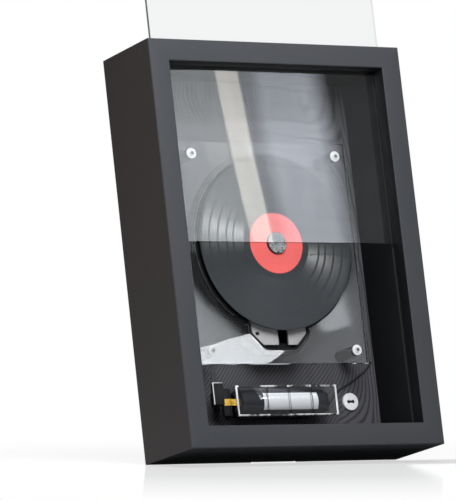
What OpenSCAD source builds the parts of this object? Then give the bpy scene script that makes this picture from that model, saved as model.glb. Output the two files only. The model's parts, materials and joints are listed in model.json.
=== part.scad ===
// Wall mounted disc player, built into a deep picture frame with a clear panel that slides up.
// X runs to the right as seen from the front, Y runs from the front to the wall, Z is up.
// The origin is the centre of the base. The panel is drawn raised, as when a disc is changed.

/* [Frame] */
// Width of the picture frame
frame_w = 200; // [190:1:230]
// Height of the picture frame
frame_h = 278; // [256:1:310]
// Depth of the picture frame from front to back
frame_d = 62; // [57:0.5:74]
// Thickness of the frame boards, which is also the width of the front rails
board_t = 15; // [13:0.5:17]
// Bevel on the outer edges and the front inner edge of the boards
edge_bevel = 0.6; // [0.3:0.1:1.2]
// Depth of the lip in front of the panel groove
lip_d = 11; // [8:0.5:12]
// How far the panel groove goes into the boards
groove_in = 6.5; // [4:0.5:8]
// Width of the rebate that takes the back board and the rear cover
rebate_w = 5; // [4:0.5:6]
// Depth of the rebate behind the front of the back board
rear_d = 10; // [9.5:0.5:12]

/* [Panel] */
// Thickness of the clear panel
panel_t = 2.4; // [1.8:0.2:3.2]
// Height that the closed panel stands above the frame, as a finger pull
panel_pull = 2; // [1:0.5:5]
// Height that the panel is raised in the pose drawn
panel_raise = 133; // [0:1:240]
// Thickness of the felt strips in the side grooves
felt_t = 0.5; // [0.3:0.1:0.8]

/* [Back] */
// Thickness of the back board
back_board_t = 3; // [2.8:0.1:3.5]
// Thickness of the rear cover
cover_t = 2; // [1.6:0.1:2.2]
// Distance between the two wall hangers
hanger_span = 120; // [100:5:136]
// Radius of the round mouth of each keyhole
keyhole_r = 4.5; // [4:0.1:5]
// Radius of the narrow end of each keyhole
keyhole_slot_r = 2.2; // [1.8:0.1:2.4]

/* [Mount plate] */
// Height of the lower edge of the clear mount plate above the bottom board
plate_up = 47.1; // [46:0.5:52]
// Clear plate left on each side of the bezel dish
plate_side = 5; // [4:0.5:8]
// Clear plate left above the bezel dish
plate_above = 9.9; // [8:0.1:12]
// Clear plate left below the tongue
plate_below = 9.5; // [8:0.1:12]
// Thickness of the clear mount plate
plate_t = 3; // [2:0.2:3.4]
// Length of the standoffs that carry the plate
standoff_l = 18.7; // [18.4:0.1:20]
// Diameter of the standoffs
standoff_d = 8; // [6:0.5:9]
// Distance of the corner screws from the sides of the plate
screw_in = 9; // [7:0.5:10]
// Diameter of the white washers
washer_d = 7.2; // [6.6:0.2:8.5]

/* [Disc] */
// Diameter of the disc
disc_d = 120; // [118:0.5:120]
// Thickness of the disc
disc_t = 1.2; // [1.1:0.1:1.5]
// Diameter of the hole in the disc
disc_hole_d = 15; // [14.6:0.1:15.4]
// Diameter of the round label
label_d = 42; // [36:1:46]
// Gap between the back of the disc and the front of the mount plate
disc_lift = 2.3; // [2:0.1:4]

/* [Drive] */
// Rim left between the disc and the wall of the bezel dish
bezel_gap = 1.5; // [1.4:0.1:2]
// Wall of the bezel dish
bezel_wall = 1.2; // [1:0.1:1.4]
// Depth of the bezel dish behind the front of the mount plate
dish_d = 6; // [5.6:0.1:6.2]
// Width of the tongue below the disc
tongue_w = 47.3; // [46:0.5:50]
// Length of the tongue beyond the edge of the disc
tongue_l = 12.9; // [12.5:0.1:14]
// Distance that the middle of the tongue lies left of the spindle
tongue_left = 2.8; // [0:0.2:3]
// Radius of the spindle motor
motor_r = 11; // [9:0.5:11.5]
// Distance that the pickup travels
sled_travel = 34; // [30:0.5:34]
// Distance of the lens from the spindle at the inner end of its travel
lens_inner = 24; // [24:0.25:24.5]
// Diameter of the main guide rod
rod_d = 3; // [2.4:0.1:3.2]
// Size of the gear teeth, as their module
tooth_module = 0.6; // [0.56:0.01:0.62]

/* [Battery] */
// Diameter of the battery cell
cell_d = 18.5; // [17.5:0.5:18.5]
// Length of the battery cell without its nub
cell_l = 67; // [62:1:67]
// Height of the cell axis above the bottom board
cell_up = 22; // [20:0.5:24]
// Wall of the clear battery tray and cover
tray_wall = 1.2; // [1:0.1:1.4]
// Length of the white label on the cell
cell_band_l = 43; // [30:1:50]
// Height of the white label on the cell
cell_band_h = 11.4; // [8:0.2:16]

/* [Controls] */
// Diameter of the power button
button_d = 12; // [10:0.5:13]
// Travel of the power button
button_travel = 1; // [0.5:0.1:1]
// Height of the power button above the bottom board
button_up = 24.2; // [20:0.2:30]
// Diameter of the audio plug that the jack takes
jack_d = 3.5; // [2.5:0.5:3.5]

/* [Stand] */
// Height of the stand hinge above the base
hinge_z = 150; // [130:1:170]
// Width of the stand leg
leg_w = 36; // [24:1:38]
// Thickness of the stand leg
leg_t = 3; // [2.4:0.1:3.2]
// Diameter of the hinge pin
pin_d = 1.6; // [1.2:0.1:1.7]

/* [Hidden] */
$fn = 64;

// Clearances
slide_gap = 0.1;     // between the panel and the walls of its groove
fit_gap = 0.2;       // around a board or plate that drops into a recess
run_gap = 0.05;      // radial, between a shaft or rod and its bore
free_gap = 0.3;      // between pieces that move past each other
eps = 0.01;          // overrun of a cut past the face that it opens

// Frame, back and panel
inner_d = frame_d - rear_d;
win_w = frame_w - 2 * board_t;
win_h = frame_h - 2 * board_t;
front_y = -frame_d / 2;
back_y = frame_d / 2;
groove_w = panel_t + felt_t + 2 * slide_gap;
groove_y = front_y + lip_d;
groove_floor = board_t - groove_in;
panel_w = win_w + 2 * groove_in - 1;
panel_low_z = groove_floor + fit_gap;
panel_h = frame_h + panel_pull - panel_low_z;
rebate_x = win_w / 2 + rebate_w;
rebate_low = board_t - rebate_w;
rebate_high = frame_h - rebate_low;
board_y = front_y + inner_d;
board_back_y = board_y + back_board_t;
cover_y = back_y - cover_t;
rear_gap = cover_y - board_back_y;
small_screw_r = 1.2;
screw_head_r = 2.2;
screw_head_t = 0.9;
back_screw_l = 6.5;
shoulder_x = win_w / 2 + rebate_w / 2;

// Disc, and the tongue below it
disc_r = disc_d / 2;
dish_r = disc_r + bezel_gap;
tongue_side = disc_r + 1.7;
tongue_end = disc_r + tongue_l;
tongue_r = 5;
disc_z = board_t + plate_up + plate_below + tongue_end;

// Mount plate
mid_z = frame_h / 2;
plate_w = 2 * (dish_r + plate_side);
plate_h = dish_r + tongue_end + plate_above + plate_below;
plate_z = board_t + plate_up + plate_h / 2;
plate_back_y = board_y - standoff_l;
plate_y = plate_back_y - plate_t;
screw_x = plate_w / 2 - screw_in;
screw_z = plate_h / 2 - screw_in;
plate_screw_r = 1.5;
disc_y = plate_y - disc_lift - disc_t;
disc_back_y = disc_y + disc_t;
label_t = 0.12;

// Bezel dish and deck plate
rim_proud = 0.5;
flange_t = 2;
flange_w = 3;
dish_floor_t = 1.5;
floor_y = plate_y + dish_d - dish_floor_t;
deck_plate_y = plate_y + 1.7;
deck_plate_t = 1.2;
deck_plate_low = tongue_end - 3.8;
deck_rib_x = tongue_w / 2 - bezel_wall - fit_gap - 0.6;

// Drive behind the dish
isolator_l = 1;
chassis_y = plate_y + dish_d + isolator_l;
chassis_t = 1.2;
chassis_back_y = chassis_y + chassis_t;
drive_left = 23.5;
drive_side = disc_r + 5.5;
drive_end = disc_r + 13;
drive_end_w = 24;
drive_slope = atan2(drive_end - drive_side, drive_left - drive_end_w / 2);
drive_right = 46;
drive_top = 16;
drive_step = 42.5;
drive_wall = 1.2;
drive_cover_y = chassis_back_y + 8;
hub_flange_r = 13;
hub_flange_t = 1.2;
hub_neck_r = 5;
hub_nose_r = disc_hole_d / 2 - 0.1;
hub_nose_l = disc_t + 2;
shaft_r = 1;
boss_r = 4;
boss_l = 4.7;
motor_l = 7.5;

// Pickup sled, its rods and its gears
sled_y = chassis_y - 0.8;
sled_t = 6.5;
sled_w = 31;
sled_up = 11;
sled_down = 9;
rod_y = chassis_back_y + 1.5;
rod_x = 12.5;
rod_top = motor_r + 0.5;
rod_end = lens_inner + sled_travel + sled_down + 0.6;
side_rod_d = 2;
rod_block_l = 2;
lens_r = 2.5;
slot_left = 3.4;
slot_right = 4.6;
lens_y = disc_back_y + 2.2;
focus_travel = 0.5;
holder_w = 7;
holder_t = 3.4;
tooth_pitch = PI * tooth_module;
pinion_teeth = 14;
wheel_teeth = 40;
motor_teeth = 12;
backlash = 0.12;
gear_s = 28;
rack_x = sled_w / 2 + 2.3;
rack_y = rod_y - 1.2;
rack_t = 2.5;
gear_x = rack_x + tooth_module * pinion_teeth / 2;
wheel_y = sled_y + sled_t + 0.9;
wheel_t = 1.4;
gear_pin_r = 1;
mesh_angle = 22;
mesh_l = tooth_module * (wheel_teeth + motor_teeth) / 2;
sled_motor_r = 8;
sled_motor_x = gear_x + mesh_l * cos(mesh_angle);
sled_motor_z = -gear_s + mesh_l * sin(mesh_angle);
sled_motor_l = wheel_y - chassis_back_y - 0.6;

// Battery
cell_r = cell_d / 2;
cell_x = -2.5;
cell_z = board_t + cell_up;
tray_base_t = 1.5;
cell_y = board_y - tray_base_t - fit_gap - cell_r;
nub_l = 1.5;
cell_left = cell_x - cell_l / 2 - nub_l / 2;
cell_right = cell_left + cell_l;
tray_left = cell_left - 2;
tray_right = cell_right + nub_l + 2;
cap_left = tray_left - tray_wall - 2.4;
cap_right = tray_right + 2 * tray_wall + fit_gap + 1.6;
cap_in_h = cell_d + 2 * fit_gap;
cap_h = cap_in_h + 2 * tray_wall;
cap_front_y = cell_y - cell_r - fit_gap - tray_wall;
band_t = 0.12;
block_w = 8.2;
block_h = 15.3;
block_t = 3.2;
block_x = cap_left - 7.5 - block_w;
block_low = cell_z - 2;
block_y = cell_y - 7.2;
stem_x = block_x + block_w;
stem_w = 6.7;
stem_low = cell_z + 1;
stem_top = cell_z + cell_r + 0.25;
arm_t = 3;
arm_low = cell_z - 9.5;
contact_t = 0.5;
contact_w = 4.4;
step_in = 5;
strip_y = cell_y - step_in - contact_t;
ribbon_w = 4;
ribbon_t = 0.4;
ribbon_x = stem_x + 2.7;
ribbon_turn_z = cell_z + 29;

// Controls and electronics
button_x = cap_right + 23.55;
button_z = board_t + button_up;
button_proud = 1.2;
button_flange_w = 0.9;
button_flange_t = 0.8;
button_back_y = board_back_y - 1;
pcb_t = 1.2;
pcb_y = board_back_y + 1;
pcb_left = leg_w / 2 + 6;
pcb_right = rebate_x - 5.5;
pcb_low = rebate_low + 10;
pcb_h = 90;
pcb_high = pcb_low + pcb_h;
port_y = (board_back_y + cover_y) / 2;
port_face = rebate_x - fit_gap;
usb_z = 84;
usb_w = 9;
usb_h = 3.2;
usb_l = 7.5;
usb_way_w = 12.6;
usb_way_h = 6.8;
jack_z = 62;
jack_l = 12;
jack_w = 6;
jack_h = rear_gap - 0.4;
jack_way_r = 3.3;
lead_d = 1.2;
flex_w = 10;
flex_t = 0.3;
flex_x = 33;
flex_z = disc_z - 30;
lead_hole_x = win_w / 2 - 3.5;
lead_hole_z = board_t + 51;

// Stand
hinge_y = back_y - free_gap - leg_t / 2;
leg_foot_z = 1.3;
pan_t = 0.8;
pan_y = hinge_y - leg_t / 2 - free_gap - pan_t;
ear_t = 1.2;
pan_w = leg_w + 2 * free_gap + 2 * ear_t;
slot_top = hinge_z + 5;

// A cylinder along Y whose front end is at the origin
module rod_along_y(r, l) { rotate([-90, 0, 0]) cylinder(r = r, h = l); }

// A cylinder along X whose left end is at the origin
module rod_along_x(r, l) { rotate([0, 90, 0]) cylinder(r = r, h = l); }

// A flat outline in X and Z, given thickness t behind the plane y
module slab(y, t) { translate([0, y + t, 0]) rotate([90, 0, 0]) linear_extrude(t) children(); }

// The same, with the outline drawn around the disc centre
module deck_slab(y, t) { translate([0, 0, disc_z]) slab(y, t) children(); }

// A rectangle given by its left, low, right and high edges
module box2d(left, low, right, high) { translate([left, low]) square([right - left, high - low]); }

// Copies at the four corners of a rectangle around the origin, in X and Z
module four(x, z) {
    for (sx = [-1, 1])
        for (sz = [-1, 1]) translate([sx * x, 0, sz * z]) children();
}

// ---------- Frame ----------

// The moulding that all four boards are cut from: X is across the board, Y is its depth
module moulding(l) {
    linear_extrude(l) polygon([
        [edge_bevel, 0], [board_t - edge_bevel, 0], [board_t, edge_bevel], [board_t, lip_d],
        [groove_floor, lip_d], [groove_floor, lip_d + groove_w], [board_t, lip_d + groove_w],
        [board_t, inner_d], [rebate_low, inner_d], [rebate_low, frame_d],
        [edge_bevel, frame_d], [0, frame_d - edge_bevel], [0, edge_bevel]
    ]);
}

// Pilot holes for the screws in the rebate's shoulder
module shoulder_holes() {
    back_screw_places() translate([0, board_y - back_screw_l - free_gap, 0])
        rod_along_y(small_screw_r + run_gap, back_screw_l + free_gap + eps);
}

module bracket_holes() {
    bracket_screw_places() rod_along_x(small_screw_r + run_gap, bracket_screw_l);
}

module side_board() {
    difference() {
        intersection() {
            translate([-frame_w / 2, front_y, 0]) moulding(frame_h);
            slab(front_y - 1, frame_d + 2) polygon([
                [-frame_w / 2, 0], [-frame_w / 2 + board_t, board_t],
                [-frame_w / 2 + board_t, frame_h - board_t], [-frame_w / 2, frame_h]
            ]);
        }
        shoulder_holes();
        bracket_holes();
    }
}

module level_board() {
    intersection() {
        translate([frame_w / 2, front_y, 0]) rotate([0, -90, 0]) moulding(frame_w);
        slab(front_y - 1, frame_d + 2) polygon([
            [-frame_w / 2, 0], [frame_w / 2, 0],
            [frame_w / 2 - board_t, board_t], [-frame_w / 2 + board_t, board_t]
        ]);
    }
}

module frame_left_board() { color("#35373a") side_board(); }

module frame_right_board() {
    color("#35373a") difference() {
        mirror([1, 0, 0]) side_board();
        translate([rebate_x - 1, port_y, jack_z]) rod_along_x(jack_way_r, board_t);
        for (s = [-1, 1]) translate([rebate_x - 1, port_y, usb_z + s * (usb_way_w - usb_way_h) / 2])
            rod_along_x(usb_way_h / 2, board_t);
        translate([rebate_x - 1, port_y - usb_way_h / 2, usb_z - (usb_way_w - usb_way_h) / 2])
            cube([board_t, usb_way_h, usb_way_w - usb_way_h]);
    }
}

module frame_top_board() {
    color("#35373a") difference() {
        translate([0, 0, frame_h]) mirror([0, 0, 1]) level_board();
        translate([-panel_w / 2 - 0.5, groove_y, frame_h - board_t - 1])
            cube([panel_w + 1, groove_w, board_t + 2]);
        shoulder_holes();
    }
}

module frame_bottom_board() {
    color("#35373a") difference() {
        level_board();
        shoulder_holes();
        // Notch that the folded stand leg lies in
        translate([-leg_w / 2 - free_gap, hinge_y - leg_t / 2 - free_gap, -1])
            cube([leg_w + 2 * free_gap, leg_t + 2, rebate_low + 2]);
    }
}

// Steel angles that hold the mitres, standing on the back board inside the rebate
bracket_l = 18;
bracket_t = 1.2;
bracket_d = rear_gap - 1;
bracket_screw_l = 5.5;

module bracket() {
    translate([-rebate_x, board_back_y, rebate_low]) {
        cube([bracket_t, bracket_d, bracket_l]);
        cube([bracket_l, bracket_d, bracket_t]);
    }
}

module mirrored_corners() {
    for (m = [0, 1])
        for (n = [0, 1])
            translate([0, 0, n * frame_h]) mirror([0, 0, n]) mirror([m, 0, 0]) children();
}

// The screws of the left angles, pointing into the left board
module bracket_screw_places() {
    for (n = [0, 1])
        translate([0, 0, n * frame_h]) mirror([0, 0, n])
            translate([-rebate_x - bracket_screw_l + bracket_t, board_back_y + bracket_d / 2,
                       rebate_low + bracket_l - 5]) children();
}

module corner_brackets() {
    color("silver") difference() {
        mirrored_corners() bracket();
        for (m = [0, 1]) mirror([m, 0, 0]) bracket_screw_places()
            rod_along_x(small_screw_r + run_gap, bracket_screw_l + eps);
    }
}

module corner_bracket_screws() {
    color("gray") for (m = [0, 1]) mirror([m, 0, 0]) bracket_screw_places() {
        rod_along_x(small_screw_r, bracket_screw_l);
        translate([bracket_screw_l, 0, 0]) rod_along_x(min(1.9, bracket_d / 2), 0.8);
    }
}

module groove_felt_strips() {
    felt_in = 0.3;
    color("#141414") for (s = [-1, 1])
        translate([s * (win_w / 2 + groove_in / 2) - (groove_in - felt_in) / 2,
                   groove_y + groove_w - felt_t, board_t])
            cube([groove_in - felt_in, felt_t, win_h]);
}

module front_panel() {
    color("#cfd8dc", 0.35)
        translate([-panel_w / 2, groove_y + slide_gap, panel_low_z + panel_raise])
            cube([panel_w, panel_t, panel_h]);
}

// ---------- Back ----------

// Screws along the rebate's shoulder: down both sides, and along the top and bottom
module back_screw_places() {
    for (s = [-1, 1]) {
        for (z = [board_t + 25, mid_z, frame_h - board_t - 25])
            translate([s * shoulder_x, 0, z]) children();
        for (z = [board_t - rebate_w / 2, frame_h - board_t + rebate_w / 2])
            translate([s * win_w / 3, 0, z]) children();
    }
}

spacer_x = rebate_x - 22;

module spacer_places() {
    for (s = [-1, 1])
        for (z = [rebate_low + 5, slot_top, rebate_high - 8])
            translate([s * spacer_x, 0, z]) children();
    translate([-spacer_x, 0, (rebate_low + slot_top) / 2]) children();
    translate([pcb_right - 6, 0, pcb_high + 6]) children();
}

module back_outline() {
    box2d(-rebate_x + fit_gap, rebate_low + fit_gap, rebate_x - fit_gap, rebate_high - fit_gap);
}

module back_board() {
    color("#4a494d") difference() {
        slab(board_y, back_board_t) back_outline();
        back_screw_places() translate([0, board_y - 1, 0])
            rod_along_y(small_screw_r + run_gap, back_board_t + 2);
        translate([0, 0, plate_z]) four(screw_x, screw_z) translate([0, board_y - 1, 0])
            rod_along_y(plate_screw_r + run_gap, back_board_t + 2);
        // Stepped hole of the power button
        translate([button_x, board_y - 1, button_z])
            rod_along_y(button_d / 2 + fit_gap, back_board_t + 2);
        translate([button_x, button_back_y - button_flange_t - fit_gap, button_z])
            rod_along_y(button_d / 2 + button_flange_w + free_gap, back_board_t);
        // Slots and hole for the ribbon, the flex and the lead
        translate([ribbon_x - fit_gap, board_y - 1, ribbon_turn_z - ribbon_t - fit_gap])
            cube([ribbon_w + 2 * fit_gap, back_board_t + 2, ribbon_t + 2 * fit_gap]);
        translate([flex_x - flex_w / 2 - fit_gap, board_y - 1, flex_z - fit_gap])
            cube([flex_w + 2 * fit_gap, back_board_t + 2, flex_t + 2 * fit_gap]);
        translate([lead_hole_x, board_y - 1, lead_hole_z])
            rod_along_y(lead_d / 2 + 0.8, back_board_t + 2);
    }
}

module back_board_screws() {
    color("gray") back_screw_places() {
        translate([0, board_y - back_screw_l, 0]) rod_along_y(small_screw_r, back_board_t + back_screw_l);
        translate([0, board_back_y, 0]) rod_along_y(screw_head_r, screw_head_t);
    }
}

module cover_spacers() {
    color("silver") spacer_places() difference() {
        translate([0, board_back_y, 0]) rod_along_y(3, rear_gap);
        translate([0, board_back_y + 0.8, 0]) rod_along_y(small_screw_r + run_gap, rear_gap);
    }
}

// Countersunk screws, flush with the rear cover
module rear_cover_screws() {
    color("#1a1a1a") spacer_places() translate([0, cover_y, 0]) {
        translate([0, 1 - rear_gap, 0]) rod_along_y(small_screw_r, rear_gap);
        translate([0, -eps, 0]) rotate([-90, 0, 0])
            cylinder(r1 = small_screw_r, r2 = screw_head_r, h = cover_t - 0.2 + eps);
    }
}

// Two stamped steel plates; the round mouth is below and the narrow slot runs up from it
hanger_w = 24;
hanger_h = 34;
hanger_z = frame_h - board_t - 31;
hanger_t = 1;
slot_rise = 8;

module keyhole(grow) {
    circle(r = keyhole_r + grow);
    box2d(-keyhole_slot_r - grow, 0, keyhole_slot_r + grow, slot_rise);
    translate([0, slot_rise]) circle(r = keyhole_slot_r + grow);
}

module wall_hangers() {
    color("silver") for (s = [-1, 1])
        translate([s * hanger_span / 2, 0, hanger_z]) slab(cover_y - hanger_t, hanger_t)
            difference() {
                box2d(-hanger_w / 2, -hanger_h / 2, hanger_w / 2, hanger_h / 2);
                keyhole(0);
            }
}

module rear_cover() {
    vent_w = 2;
    vent_l = 26;
    color("#26282a") difference() {
        slab(cover_y, cover_t) difference() {
            back_outline();
            for (s = [-1, 1]) translate([s * hanger_span / 2, hanger_z]) keyhole(1.5);
            // Slot that the stand leg folds into
            box2d(-pan_w / 2 - fit_gap, 0, pan_w / 2 + fit_gap, slot_top);
            // Vents over the main board
            for (i = [0:5]) translate([pcb_left + 14, pcb_low + 24 + 6 * i])
                box2d(0, 0, vent_l, vent_w);
        }
        spacer_places() translate([0, cover_y - eps, 0]) rotate([-90, 0, 0])
            cylinder(r1 = small_screw_r + run_gap, r2 = screw_head_r + 3 * run_gap, h = cover_t + 2 * eps);
    }
}

// ---------- Mount plate ----------

function arc_points(x, z, r, a) = [for (k = [0:5]) [x + r * cos(a + 9 * k), z + r * sin(a + 9 * k)]];

// Outline of the tongue below the disc, drawn in by i. Its ends slope at 45 degrees, with round corners
function tongue_points(i) = let (
    half = tongue_w / 2,
    drop = tongue_r * (sqrt(2) - 1),
    low_x = half - (tongue_end - tongue_side) - drop,
    r = tongue_r - i
) [for (p = concat(
    [[i - half, 0]],
    arc_points(tongue_r - half, drop - tongue_side, r, 180),
    arc_points(-low_x, tongue_r - tongue_end, r, 225),
    arc_points(low_x, tongue_r - tongue_end, r, 270),
    arc_points(half - tongue_r, drop - tongue_side, r, 315),
    [[half - i, 0]]
)) [p[0] - tongue_left, p[1]]];

module dish_outline(i) {
    circle(r = dish_r - i, $fn = 128);
    polygon(tongue_points(i));
}

module mount_plate() {
    color("#dfe6ea", 0.4) difference() {
        translate([0, 0, plate_z]) slab(plate_y, plate_t)
            box2d(-plate_w / 2, -plate_h / 2, plate_w / 2, plate_h / 2);
        deck_slab(plate_y - 1, plate_t + 2) dish_outline(-fit_gap);
        translate([0, plate_y - 1, plate_z]) four(screw_x, screw_z)
            rod_along_y(plate_screw_r + run_gap, plate_t + 2);
    }
}

module plate_standoffs() {
    color("#2a2c2e") translate([0, plate_back_y, plate_z]) four(screw_x, screw_z) difference() {
        rod_along_y(standoff_d / 2, standoff_l);
        translate([0, -1, 0]) rod_along_y(plate_screw_r + run_gap, standoff_l + 2);
    }
}

washer_t = 0.8;
plate_screw_head_r = 1.9;

module plate_washers() {
    color("white") translate([0, plate_y - washer_t, plate_z]) four(screw_x, screw_z) difference() {
        rod_along_y(washer_d / 2, washer_t);
        translate([0, -1, 0]) rod_along_y(plate_screw_r + run_gap, washer_t + 2);
    }
}

module plate_screws() {
    color("gray") translate([0, plate_y - washer_t, plate_z]) four(screw_x, screw_z) difference() {
        union() {
            rod_along_y(plate_screw_r, washer_t + plate_t + standoff_l + back_board_t);
            translate([0, -screw_head_t, 0]) rod_along_y(plate_screw_head_r, screw_head_t);
        }
        // Hexagonal driver socket
        translate([0, -1, 0]) rotate([-90, 0, 0]) cylinder(r = 1, h = 0.8, $fn = 6);
    }
}

// ---------- Disc drive ----------

module deck_bezel() {
    color("#0c0c0d") {
        deck_slab(plate_y - rim_proud, rim_proud + dish_d) difference() {
            dish_outline(0);
            dish_outline(bezel_wall);
        }
        deck_slab(plate_back_y, flange_t) difference() {
            dish_outline(-flange_w);
            dish_outline(bezel_wall);
        }
        deck_slab(floor_y, dish_floor_t) difference() {
            dish_outline(bezel_wall - eps);
            circle(r = hub_neck_r + 1.5);
            box2d(-lens_window, -rod_end, lens_window, 1 - rod_top);
            places_2d(isolator_places) circle(r = deck_screw_r + run_gap);
        }
    }
}

// Half width of the opening for the lens in the floor of the dish
lens_window = lens_r + 2;

// Opening for the pickup in the chassis
module sled_window() { box2d(-sled_w / 2 - 1, -rod_end, sled_w / 2 + 1, 1 - rod_top); }

// Isolators sit at these places around the disc centre
deck_screw_r = 1.2;
deck_screw_head_r = 1.7;
isolator_r = 2.2;
isolator_places = [[5 - drive_left, drive_top - 5], [drive_right - 5, drive_top - 5],
                   [drive_right - 5, 5 - drive_step], [4.7 - drive_left, -drive_step - 9.5]];

module places_2d(places) { for (p = places) translate(p) children(); }

module places_xz(places) { for (p = places) translate([p[0], 0, p[1]]) children(); }

module deck_plate() {
    color("#b2b0b2") {
        deck_slab(deck_plate_y, deck_plate_t) difference() {
            intersection() {
                polygon(tongue_points(bezel_wall + fit_gap));
                box2d(-tongue_w, -deck_plate_low, tongue_w, 0);
            }
            box2d(-slot_left, -tongue_end, slot_right, -hub_flange_r - 4);
            circle(r = hub_flange_r + 1.5);
            // Index hole
            box2d(-21, -disc_r - 2.5, -18, -disc_r - 0.2);
        }
        // Ribs that stand on the floor of the dish
        deck_slab(deck_plate_y + deck_plate_t - eps, floor_y - deck_plate_y - deck_plate_t + eps)
            for (x = [-deck_rib_x, deck_rib_x])
                translate([x - tongue_left, 0]) box2d(-0.6, -tongue_side + 3, 0.6, -2);
    }
}

// Outline of the chassis and the drive cover, drawn in by i
module drive_outline(i) {
    half = drive_left - i;
    end_half = drive_end_w / 2 - i * tan(drive_slope / 2);
    side = -drive_side + i * tan((90 - drive_slope) / 2);
    box2d(-half, -drive_step + i, drive_right - i, drive_top - i);
    polygon([[-half, 0], [-half, side], [-end_half, i - drive_end], [end_half, i - drive_end],
             [half, side], [half, 0]]);
}

module deck_chassis() {
    color("#9a9da0") difference() {
        union() {
            deck_slab(chassis_y, chassis_t) difference() {
                drive_outline(0);
                sled_window();
                circle(r = boss_r + 0.1);
                places_2d(isolator_places) circle(r = deck_screw_r + run_gap);
                translate([gear_x, -gear_s]) circle(r = gear_pin_r + 0.02);
            }
            // Blocks that hold the ends of the rods
            for (s = [-rod_x, rod_x], z = [-rod_top, -rod_end - rod_block_l])
                translate([s - 2.4, chassis_back_y, disc_z + z])
                    cube([4.8, rod_y + 2.3 - chassis_back_y, rod_block_l]);
        }
        rod_holes(0.02);
    }
}

module rod_holes(gap) {
    translate([0, rod_y, disc_z - rod_end - rod_block_l + 0.6]) {
        translate([-rod_x, 0, 0]) cylinder(r = rod_d / 2 + gap, h = rod_length);
        translate([rod_x, 0, 0]) cylinder(r = side_rod_d / 2 + gap, h = rod_length);
    }
}

rod_length = rod_end - rod_top + 2 * rod_block_l - 1.2;

module guide_rods() { color("silver") rod_holes(0); }

module deck_isolators() {
    color("#1b1b1c") difference() {
        translate([0, floor_y + dish_floor_t, disc_z]) places_xz(isolator_places)
            rod_along_y(isolator_r, isolator_l);
        translate([0, floor_y, disc_z]) places_xz(isolator_places)
            rod_along_y(deck_screw_r + run_gap, dish_floor_t + isolator_l + eps);
    }
}

module deck_screws() {
    color("gray") translate([0, floor_y, disc_z]) places_xz(isolator_places) {
        rod_along_y(deck_screw_r, chassis_back_y - floor_y + 1.5);
        translate([0, -screw_head_t, 0]) rod_along_y(deck_screw_head_r, screw_head_t);
    }
}

module deck_cover() {
    color("#101011") difference() {
        union() {
            deck_slab(chassis_back_y, drive_cover_y - chassis_back_y) difference() {
                drive_outline(0);
                drive_outline(drive_wall);
            }
            deck_slab(drive_cover_y, drive_wall) drive_outline(0);
        }
        translate([flex_x - flex_w / 2 - fit_gap, drive_cover_y - 1, flex_z - fit_gap])
            cube([flex_w + 2 * fit_gap, 3, flex_t + 2 * fit_gap]);
    }
}

module spindle_motor() {
    color("silver") translate([0, 0, disc_z]) difference() {
        union() {
            translate([0, chassis_back_y, 0]) rod_along_y(motor_r, motor_l);
            translate([0, chassis_back_y - boss_l, 0]) rod_along_y(boss_r, boss_l + 1);
        }
        translate([0, chassis_back_y - boss_l - 1, 0]) rod_along_y(shaft_r + run_gap, 20);
    }
}

module spindle_shaft() {
    color("silver") translate([0, disc_y + 0.6, disc_z])
        rod_along_y(shaft_r, chassis_back_y + motor_l - disc_y - 0.9);
}

// The balls sit in three pockets around the nose and hold the disc by its bore
ball_r = 0.8;
ball_out = hub_nose_r - ball_r + 0.05;

module ball_places() {
    for (a = [90, 210, 330]) rotate([0, -a, 0]) translate([ball_out, disc_y + 0.5, 0]) children();
}

module spindle_hub() {
    color("#303234") translate([0, 0, disc_z]) difference() {
        union() {
            translate([0, disc_back_y, 0]) rod_along_y(hub_flange_r, hub_flange_t);
            translate([0, disc_back_y - hub_nose_l + 0.6, 0]) rod_along_y(hub_nose_r, hub_nose_l);
            translate([0, disc_back_y, 0])
                rod_along_y(hub_neck_r, chassis_back_y - boss_l - 0.4 - disc_back_y);
        }
        translate([0, disc_y + 0.6, 0]) rod_along_y(shaft_r + 0.01, 20);
        ball_places() translate([-ball_r - run_gap, 0, 0]) rod_along_x(ball_r + run_gap, 3);
    }
}

module hub_balls() {
    color("silver") translate([0, 0, disc_z]) ball_places() sphere(r = ball_r);
}

module hub_cap() {
    cap_t = 0.6;
    color("#a6a8aa") translate([0, disc_back_y - hub_nose_l, disc_z]) difference() {
        rod_along_y(hub_nose_r - 0.3, cap_t);
        // Notch in the lower edge, and shallow dimples
        translate([-0.8, -1, -hub_nose_r - 1]) cube([1.6, 3, 2.4]);
        for (a = [0:60:300]) translate([3.6 * cos(a), -0.1, 3.6 * sin(a)]) rod_along_y(0.5, 0.4);
    }
}

module disc() {
    color("#2b2d2f") translate([0, disc_y, disc_z]) difference() {
        rod_along_y(disc_r, disc_t, $fn = 128);
        translate([0, -1, 0]) rod_along_y(disc_hole_d / 2, disc_t + 2);
    }
}

module disc_label() {
    color("#ff6462") translate([0, disc_y - label_t, disc_z]) difference() {
        rod_along_y(label_d / 2, label_t);
        translate([0, -1, 0]) rod_along_y(disc_hole_d / 2 + 0.2, label_t + 2);
    }
}

// ---------- Pickup and gears ----------

// One flank point of an involute tooth: radius r on a gear of pitch radius p
function flank_turn(r, base) = let (a = acos(min(1, base / r))) tan(a) * 180 / PI - a;

// Tooth outline points of a gear with n teeth
function gear_points(n) = let (
    p = tooth_module * n / 2,
    base = p * cos(20),
    tip = p + 0.95 * tooth_module,
    root = p - 1.2 * tooth_module,
    half = 90 / n - backlash / p * 45 / PI,
    low = max(base, root + 0.01),
    radii = [low, p, tip],
    at_pitch = flank_turn(p, base)
) [for (k = [0:n - 1], s = [-1, 1], i = [0:3])
    let (
        j = s < 0 ? i : 3 - i,
        r = j == 0 ? root : radii[j - 1],
        turn = j == 0 ? flank_turn(low, base) : flank_turn(r, base),
        a = 360 * k / n + s * (half + at_pitch - turn)
    ) [r * cos(a), r * sin(a)]];

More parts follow.
